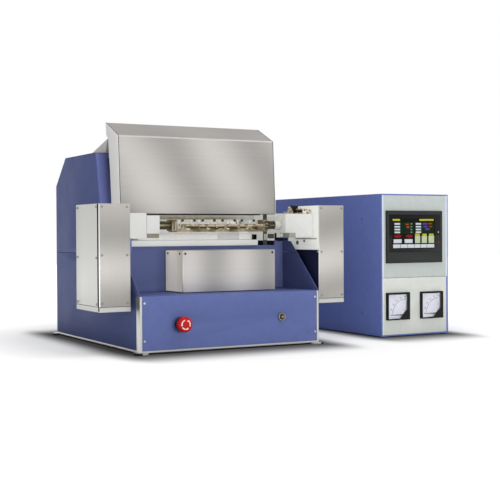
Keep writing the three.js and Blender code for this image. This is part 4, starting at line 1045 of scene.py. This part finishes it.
# The clamp bar glows a little: painted light.
finish("block_clamp_bar", [
    block((441.5, 26.5, 286.5), (448.2, 74, 299.5), 1.2, 3), block((441.5, 22.5, 286.5), (463, 26.6, 299.5), 1.2, 3),
], "carriage", clamp_bar_glow)
# The clamp heads glow a little: painted light.
finish("block_clamp_heads", [rod((441.2, y, 293), 5.0, 1.6, "X", 0.5, 20) for y in (60, 71)],
       "carriage", block_side_glow)
dress("position_sensor", "carriage", mottled_brass, 1.2, 3)
low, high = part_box("position_sensor")
screws("sensor_screws", "front", [
    Vector((x, low.y, (low.z + high.z) / 2)) for x in (low.x + 7 * MM, high.x - 7 * MM)
], "carriage", dark_steel)
plug = plate([(492, 97.5, 375), (519, 97.5, 374), (508, 97.5, 357)], 7, 0.6)
finish("sensor_plug", plug, "carriage", black_plastic)
bracket = sunk(block((508, 58, 351.4), (534.5, 104.5, 366), 1.4, 3), lambda face: face.normal.x < -0.9, 3, 1.5)
finish("sensor_bracket", bracket, "carriage", mottled_brass)
finish("sensor_bracket_screws", [
    rod((x, 58, z), 1.8, 1.2, "Y", 0.3, 16) for x, z in ((513, 361), (521, 356), (529, 361))
], "carriage", seal_black)
for node in ("carriage_yoke", "drive_rod"):
    dress(node, "carriage", steel)
dress("tilt_motor", "carriage", black_plastic)

# %% [markdown]
# ## Cradle
# The cradle is cast from heat-proof alloy: two slotted rails, posts between the four seats, and
# clamped ends on the shaft. The posts are pale and glow a little, which is painted light. Its slots
# and post heads are dark, a strip along the rail's top is a painted highlight, and the shaft carries
# ribbed bars at both ends. Dark marks could be part of the stain texture, but thin dark plates lie
# exactly in the slots, where a noise would only scatter them.

# %% Cradle
cradle = dress("cradle_frame", "cradle", heat_tint, 0.5)
post_front, post_foot = 92, 323.5
# The posts between the seats: pale and glowing, painted light.
repaint(cradle, cradle_post_glow, lambda face: (
    spot(face).y > post_front and spot(face).z > post_foot and abs(face.normal.z) < 0.5))
for side in ("left", "right"):
    dress(f"{side}_cradle_shaft", "cradle", heat_tint, 0.4)
slot_ranges = ((156, 189), (194, 213), (218, 241), (245, 265), (273, 303), (311, 330), (349, 365))
# Thin dark plates that fill the rail's slots.
finish("rail_slot_dark", [block((a, 56.8, 312.6), (b, 57.3, 316.6), 0.2) for a, b in slot_ranges],
       "cradle", dark_alloy)
finish("post_heads", [
    rod((x, 104.5, 333.5), 3.4, 6, "Z", 0.8, 16) for x in (166, 201, 225, 260, 284, 321, 343, 380)
], "cradle", dark_alloy)
bars = [block((388, 56.4, foot), (403, 57.4, top), 0.3) for foot, top in ((326.5, 331.5), (318.5, 322.5), (310, 315))]
for start, stop in ((81, 117.5), (402.5, 428)):
    for foot, top in ((324, 329), (313, 318)):
        bars.append(block((start, 70.6, foot), (stop, 76, top), 1.0))
        for i in range(int((stop - start) / 6)):
            x = start + 3 + 6 * i
            bars.append(block((x, 70.3, foot - 0.3), (x + 2, 76, top + 0.3), 0.3))
finish("shaft_bars", bars, "cradle", dark_alloy)
finish("shaft_sleeve", rod((438, 82, 321), 12.4, 19, "X", 1.0), "carriage", sleeve_grey)
strokes = []
for (x, z), (to_x, to_z) in (((124, 307), (124, 330)), ((126, 329), (134, 312)),
                             ((134, 312), (140, 330)), ((143, 312), (147, 317))):
    run, rise = to_x - x, to_z - z
    stroke = block(Vector((-1.1, -1.6, 0.0)) * MM, Vector((1.1, 0.0, math.hypot(run, rise))) * MM, 0.4)
    stroke.data.transform(Matrix.Translation(at(x, 57, z)) @ Matrix.Rotation(math.atan2(run, rise), 4, "Y"))
    strokes.append(stroke)
finish("end_clamp_wire", strokes, "cradle", pale_sheet)
# A strip along the rail's top: a painted highlight.
rail_top_highlight = block((150, 56.75, 318.5), (384, 57.2, 323.6), 0.2)
finish("rail_highlight_strip", rail_top_highlight, "cradle", rail_highlight_alloy)

# %% [markdown]
# ## Inside the furnace
# The chamber is built of white insulating fibre round two heating rods, with a strip of lining on the
# right side panel; its walls, roof and lining glow a little, which is painted light. The door hangs in
# front of it and its lower edge is browned, partly a heat stain and partly painted shade under the
# hood's lip. The hearth's sill has a greyer repair plate and a dark clamp block. Fibre board is cut
# square, so the nodes need no more than softer edges and a dry, grainy finish.

# %% Furnace inside
dress("hearth_block", "root", insulating, 1.0)
# The chamber's walls and roof glow a little: painted light.
for node in ("chamber_walls", "chamber_roof"):
    dress(node, "root", chamber_fibre_painted_light, 1.0)
# The lining glows too: painted light.
side_lining = block((516.9, 436, 318), (518.4, 486, 352), 0.4)
finish("side_lining", side_lining, "root", chamber_fibre_painted_light)
dress("hearth_tray", "root", steel)
for node in ("front_heating_element", "rear_heating_element"):
    dress(node, "root", element_grey, 0.6)
dress("furnace_door", "door", door_board, 0.8)
for node in ("door_guide_frame", "door_actuator", "arm_actuator", "left_rail", "right_rail"):
    dress(node, "root", steel)
sill_plate = block((320, 202.4, 281.2), (387, 203.3, 297.6), 0.3)
finish("sill_plate", sill_plate, "root", grey_board)
clamp_block = sunk(block((428, 196, 281), (440, 203, 296), 1.0, 3), lambda face: face.normal.y < -0.9, 2, 1.0)
finish("sill_clamp_block", clamp_block, "root", black_plastic)

# %% [markdown]
# ## Controls
# The emergency stop has a broken ring of pale arrows on its red head, round a raised centre. The push
# button is a dark disc with a small brass lens in a dark chrome bezel. The arrows could be a printed
# pattern in the material, but thin bands that are really there stay crisp and turn with the head.

# %% Controls
def arc_band(centre, inner, outer, start, sweep, thickness, steps=12):
    """A flat band along part of a circle that faces the front: a short bar's end face, spun round."""
    sliver = 0.02
    piece = block(centre + Vector((inner, -thickness, -sliver)) * MM, centre + Vector((outer, 0.0, 0.0)) * MM)
    turn = Matrix.Rotation(-start, 4, "Y")
    piece.data.transform(Matrix.Translation(centre) @ turn @ Matrix.Translation(-centre))
    ahead = turn.to_3x3() @ Vector((0.0, 0.0, 1.0))
    edit(piece, faces=lambda face: face.normal.dot(ahead) > 0.99)
    bpy.ops.mesh.spin(steps=steps, angle=sweep, center=centre, axis=(0.0, 1.0, 0.0))
    leave_edit()
    return piece


dress("estop_collar", "root", black_plastic)
dress("estop_stem", "stop_plunger", steel)
dress("estop_head", "stop_head", red_plastic, 0.8, 3)
stop_face = at(109.4, -32, 73)
arrow_depth, arrow_middle, arrow_sweep = 0.35, 11.2, 72
arrows = []
for start in (105, -25, 215):
    arrows.append(arc_band(
        stop_face, 10.0, 12.6, math.radians(start), math.radians(arrow_sweep), arrow_depth))
    tip = []
    for radius, ahead in ((8.2, 0.0), (14.2, 0.0), (arrow_middle, 4.6)):
        angle = math.radians(start + arrow_sweep) + ahead / arrow_middle
        tip.append(stop_face + Vector((radius * math.cos(angle), -arrow_depth, radius * math.sin(angle))) * MM)
    arrows.append(plate(tip, arrow_depth))
finish("stop_arrows", arrows, "stop_head", white_print)
centre_boss = rod((109.4, -32.3, 73), 7.4, 1.2, "Y", 0.5)
finish("stop_centre", centre_boss, "stop_head", red_plastic)
dress("button_bezel", "root", chrome, 1.0, 3)
dress("power_button", "button", dark_steel, 0.6, 3)
finish("button_lens", rod((404, -6.2, 78.4), 3.2, 1.4, "Y", 0.6, 32, 3), "button", brass)

# %% [markdown]
# ## Control cabinet
# The cabinet is a blue shell with two pale front panels, and thin pale strips on their folded edges
# are a painted highlight. The touch screen sits in a grey bezel, with a black glass let into its
# rebate. What it shows could be a picture, but plates a tenth of a millimetre thick or less, each in
# one dim lit colour, need no image and can be placed by their share of the display.

# %% Cabinet and panel edges
dress("cabinet_shell", "root", cabinet_blue, 1.0)
for panel, paint in (("upper", upper_paint), ("lower", lower_paint)):
    dress(f"cabinet_{panel}_panel", "root", paint, 0.5)
rear_panel = dress("cabinet_rear_panel", "root", upper_paint, 0.5)
cabinet_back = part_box("cabinet_shell")[1].y + 0.5 * MM
repaint(rear_panel, black_plastic, lambda face: face.center.y > cabinet_back)
# Pale strips on the panels' edges are a painted highlight; the lower right one is blue.
low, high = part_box("cabinet_upper_panel")
edge_width = 4.2 * MM
for row, side, start, stop, material, slot in (
        ("upper", "left", low.x, low.x + edge_width, panel_edge_highlight, "light_paint"),
        ("upper", "right", high.x - edge_width, high.x, panel_edge_highlight, "light_paint"),
        ("lower", "left", low.x, low.x + edge_width, panel_edge_highlight, "light_paint"),
        ("lower", "right", high.x - 3 * MM, high.x, cabinet_blue, "blue_paint")):
    strip = slice_of(f"cabinet_{row}_panel", start, stop, 0.12)
    finish(f"{row}_{side}_edge", strip, "root", material)
screws("cabinet_side_screws", "left", [(757, y, z) for y in (133, 560) for z in (66, 339)], "root", blue_paint)

# %% Touch screen and its marks
GLASS_Y = 33.0
DISPLAY = (790.7, 944.6, 253.5, 338.0)
dress("screen_body", "root", grey_plastic, 1.2, 3)
glass = block((780.3, GLASS_Y, 242.3), (963.2, GLASS_Y + 0.85, 349.7), 0.2)
finish("screen_glass", glass, "root", screen_glass)


def on_screen(a, b, c, d):
    """A mark's left, right, low and high edge in millimetres, from its shares of the display."""
    left, right, low, high = DISPLAY
    width, height = right - left, high - low
    return left + a * width, left + b * width, high - d * height, high - c * height


def marks(name, material, shares, proud=0.08):
    """Thin lit marks on the screen, given by their shares from its left and from its top."""
    plates = []
    for mark in shares:
        x0, x1, z0, z1 = on_screen(*mark)
        y = GLASS_Y - proud
        plates.append(plate([(x0, y, z0), (x1, y, z0), (x1, y, z1), (x0, y, z1)], proud))
    finish(name, plates, "root", material)


# %% What the screen shows
def in_row(top, foot, *spans):
    """Marks side by side, each given by its left and its right share."""
    return [(left, right, top, foot) for left, right in spans]


rows = ((0.146, 0.203), (0.247, 0.298), (0.339, 0.393), (0.434, 0.488))
foot_keys = ((0.02, 0.185), (0.195, 0.35), (0.36, 0.51), (0.52, 0.65), (0.66, 0.80), (0.81, 0.98))
marks("display", lit("display_ground", (16, 20, 13), 0.02), [(0.0, 1.0, 0.0, 1.0)], 0.04)
marks("display_tables", lit("display_green_ground", (16, 36, 22), 0.02), [
    (0.02, 0.50, 0.12, 0.50), (0.53, 0.98, 0.12, 0.50)], 0.06)
marks("display_headers", lit("display_yellow", (176, 168, 44)), [
    *in_row(0.01, 0.07, (0.014, 0.18), (0.63, 0.965)),
    *in_row(0.51, 0.576, (0.527, 0.637), (0.70, 0.80), (0.855, 0.965))])
marks("display_labels", lit("display_white", (192, 196, 202)), [
    *((0.053, 0.18, *row) for row in rows), *((0.545, 0.67, *row) for row in rows),
    *in_row(0.695, 0.824, (0.03, 0.215), (0.284, 0.469)), *in_row(0.87, 0.99, *foot_keys)])
marks("display_fields", lit("display_pale", (176, 184, 152)), in_row(
    0.583, 0.83, (0.527, 0.647), (0.684, 0.808), (0.845, 0.977)))
marks("display_values", lit("display_violet", (84, 62, 140)), [
    (0.71, 0.815, 0.146, 0.20), (0.72, 0.82, 0.247, 0.298), (0.77, 0.87, 0.33, 0.39)])
marks("display_numbers", lit("display_orange", (140, 64, 32)), [
    (0.31, 0.385, 0.163, 0.22), (0.33, 0.39, 0.255, 0.32), (0.84, 0.93, 0.146, 0.19), (0.86, 0.93, 0.25, 0.29)])
marks("display_states", lit("display_green", (120, 150, 128)), [
    (0.425, 0.46, top + 0.01, foot - 0.01) for top, foot in rows])
keys = []
for start, stop in ((0.04, 0.21), (0.314, 0.469)):
    x0, x1, z0, z1 = on_screen(start, stop, 0.54, 0.645)
    turns = [2 * math.pi * step / 24 for step in range(24)]
    keys.append(plate([((x0 + x1) / 2 + (x1 - x0) / 2 * math.cos(turn), GLASS_Y - 0.1,
                        (z0 + z1) / 2 + (z1 - z0) / 2 * math.sin(turn)) for turn in turns], 0.1))
finish("display_keys", keys, "root", lit("display_red", (124, 24, 30)))
for name, z, tint in (("run", 299, (230, 200, 190)), ("link", 285, (56, 84, 56)), ("fault", 269.5, (170, 60, 30))):
    lamp_dot = rod((957, GLASS_Y, z), 1.7, 0.5, "Y", 0.15, 20)
    finish(f"screen_lamp_{name}", lamp_dot, "root", lit(f"lamp_{name}", tint, 0.2))

# %% [markdown]
# ## Panel meters
# Each meter has a white dial behind a clear window with a cut lower corner, where the needle turns.
# The scale is printed round the needle's pivot, with plain figures from 0 to 100. Ticks are the same
# spun bands as the arrows, and the figures are text made into a mesh, which stays sharp at any size.

# %% Meters
DIAL_Y = 35.7
PRINT_DEPTH = 0.12
SCALE_RADIUS, FIGURE_RADIUS, FIGURE_HEIGHT = 44, 51.5, 5.2
window_shares = ((0.04, 0.93), (0.89, 0.93), (0.88, 0.375), (0.56, 0.05), (0.04, 0.045))


def figures(words, place, height, thickness):
    """Plain figures that face the front, made a mesh before their place is applied."""
    deselect()
    bpy.ops.object.text_add()
    text = bpy.context.object.data
    text.body = words
    text.size = height * MM
    text.align_x = text.align_y = "CENTER"
    text.extrude = thickness * MM / 2
    text.resolution_u = 3
    bpy.ops.object.convert(target="MESH")
    bpy.context.object.rotation_euler = AXIS_TURNS["Y"]
    bpy.context.object.location = place
    return settled()


for side in ("left", "right"):
    meter = dress(f"{side}_meter", "root", black_plastic, 0.5)
    repaint(meter, dial_white, lambda face: face.normal.y < -0.9 and abs(spot(face).y - DIAL_Y) < 0.2)
    dress(f"{side}_meter_needle", f"{side}_needle", black_plastic, 0.1)
    low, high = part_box(f"{side}_meter_needle")
    tail, tip, front, blade_z = low.x, high.x - 5 * MM, low.y - 0.3 * MM, (low.z + high.z) / 2
    vane = plate([Vector((x, front, blade_z + rise * MM)) for x, rise in (
        (tail, -0.5), (tip, -1.5), (tip, 1.5), (tail, 0.5))], 0.9, 0.1)
    finish(f"{side}_needle_vane", vane, f"{side}_needle", black_plastic)
    low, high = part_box(f"{side}_meter")
    pivot = Vector((high.x - 13 * MM, at(0, DIAL_Y, 0).y, low.z + 14 * MM))
    scale = [arc_band(pivot, SCALE_RADIUS - 0.4, SCALE_RADIUS + 0.2, math.pi / 2, math.pi / 2, PRINT_DEPTH, 24)]
    for step in range(21):
        angle = math.pi - step * math.pi / 40
        length, sweep = (2.2, 0.012) if step % 4 else (4.0, 0.02)
        scale.append(arc_band(pivot, SCALE_RADIUS, SCALE_RADIUS + length, angle - 0.006, sweep, PRINT_DEPTH, 1))
        if step % 4 == 0:
            across, up = FIGURE_RADIUS * math.cos(angle), FIGURE_RADIUS * math.sin(angle)
            place = pivot + Vector((across, -PRINT_DEPTH / 2, up)) * MM
            scale.append(figures(str(step * 5), place, FIGURE_HEIGHT, PRINT_DEPTH))
    finish(f"{side}_meter_scale", scale, "root", dial_print)
    pane = plate([Vector((low.x + a * (high.x - low.x), low.y + 0.8 * MM, low.z + b * (high.z - low.z)))
                  for a, b in window_shares], 0.5)
    finish(f"{side}_meter_pane", pane, "root", window_glass)

# %% [markdown]
# ## Rear and inside of the cabinet
# The fan turns behind a wire guard, and inside the cabinet stand the transformer with its copper
# winding and the power controller. The guard could be wires bent along curves, but rings and bars
# that cross are what is welded together on the real one, so tori and thin rods give it directly.

# %% Fan and power parts
def ring(centre, radius, thickness, axis):
    """A torus round a centre, its hole along one axis, its sizes in millimetres."""
    deselect()
    bpy.ops.mesh.primitive_torus_add(
        major_radius=radius * MM, minor_radius=thickness * MM, major_segments=48, minor_segments=12,
        location=point(centre), rotation=AXIS_TURNS[axis])
    piece = settled()
    bpy.ops.object.shade_smooth()
    return piece


dress("fan_rotor", "fan", black_plastic)
low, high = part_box("fan_rotor")
hub = Vector(((low.x + high.x) / 2, at(0, 633.2, 0).y, (low.z + high.z) / 2))
guard = [ring(hub, radius, 0.8, "Y") for radius in (8, 16, 24, 32, 40)]
guard += [rod(hub, 0.9, 88, axis, 0.2, 16) for axis in ("X", "Z")]
guard += [rod(hub + Vector((x, 0, z)) * MM, 3.0, 1.6, "Y", 0.4, 20)
          for x, z in ((44, 0), (-44, 0), (0, 44), (0, -44))]
finish("fan_guard", guard, "root", steel)
dress("transformer", "root", winding)
dress("power_controller", "root", steel)
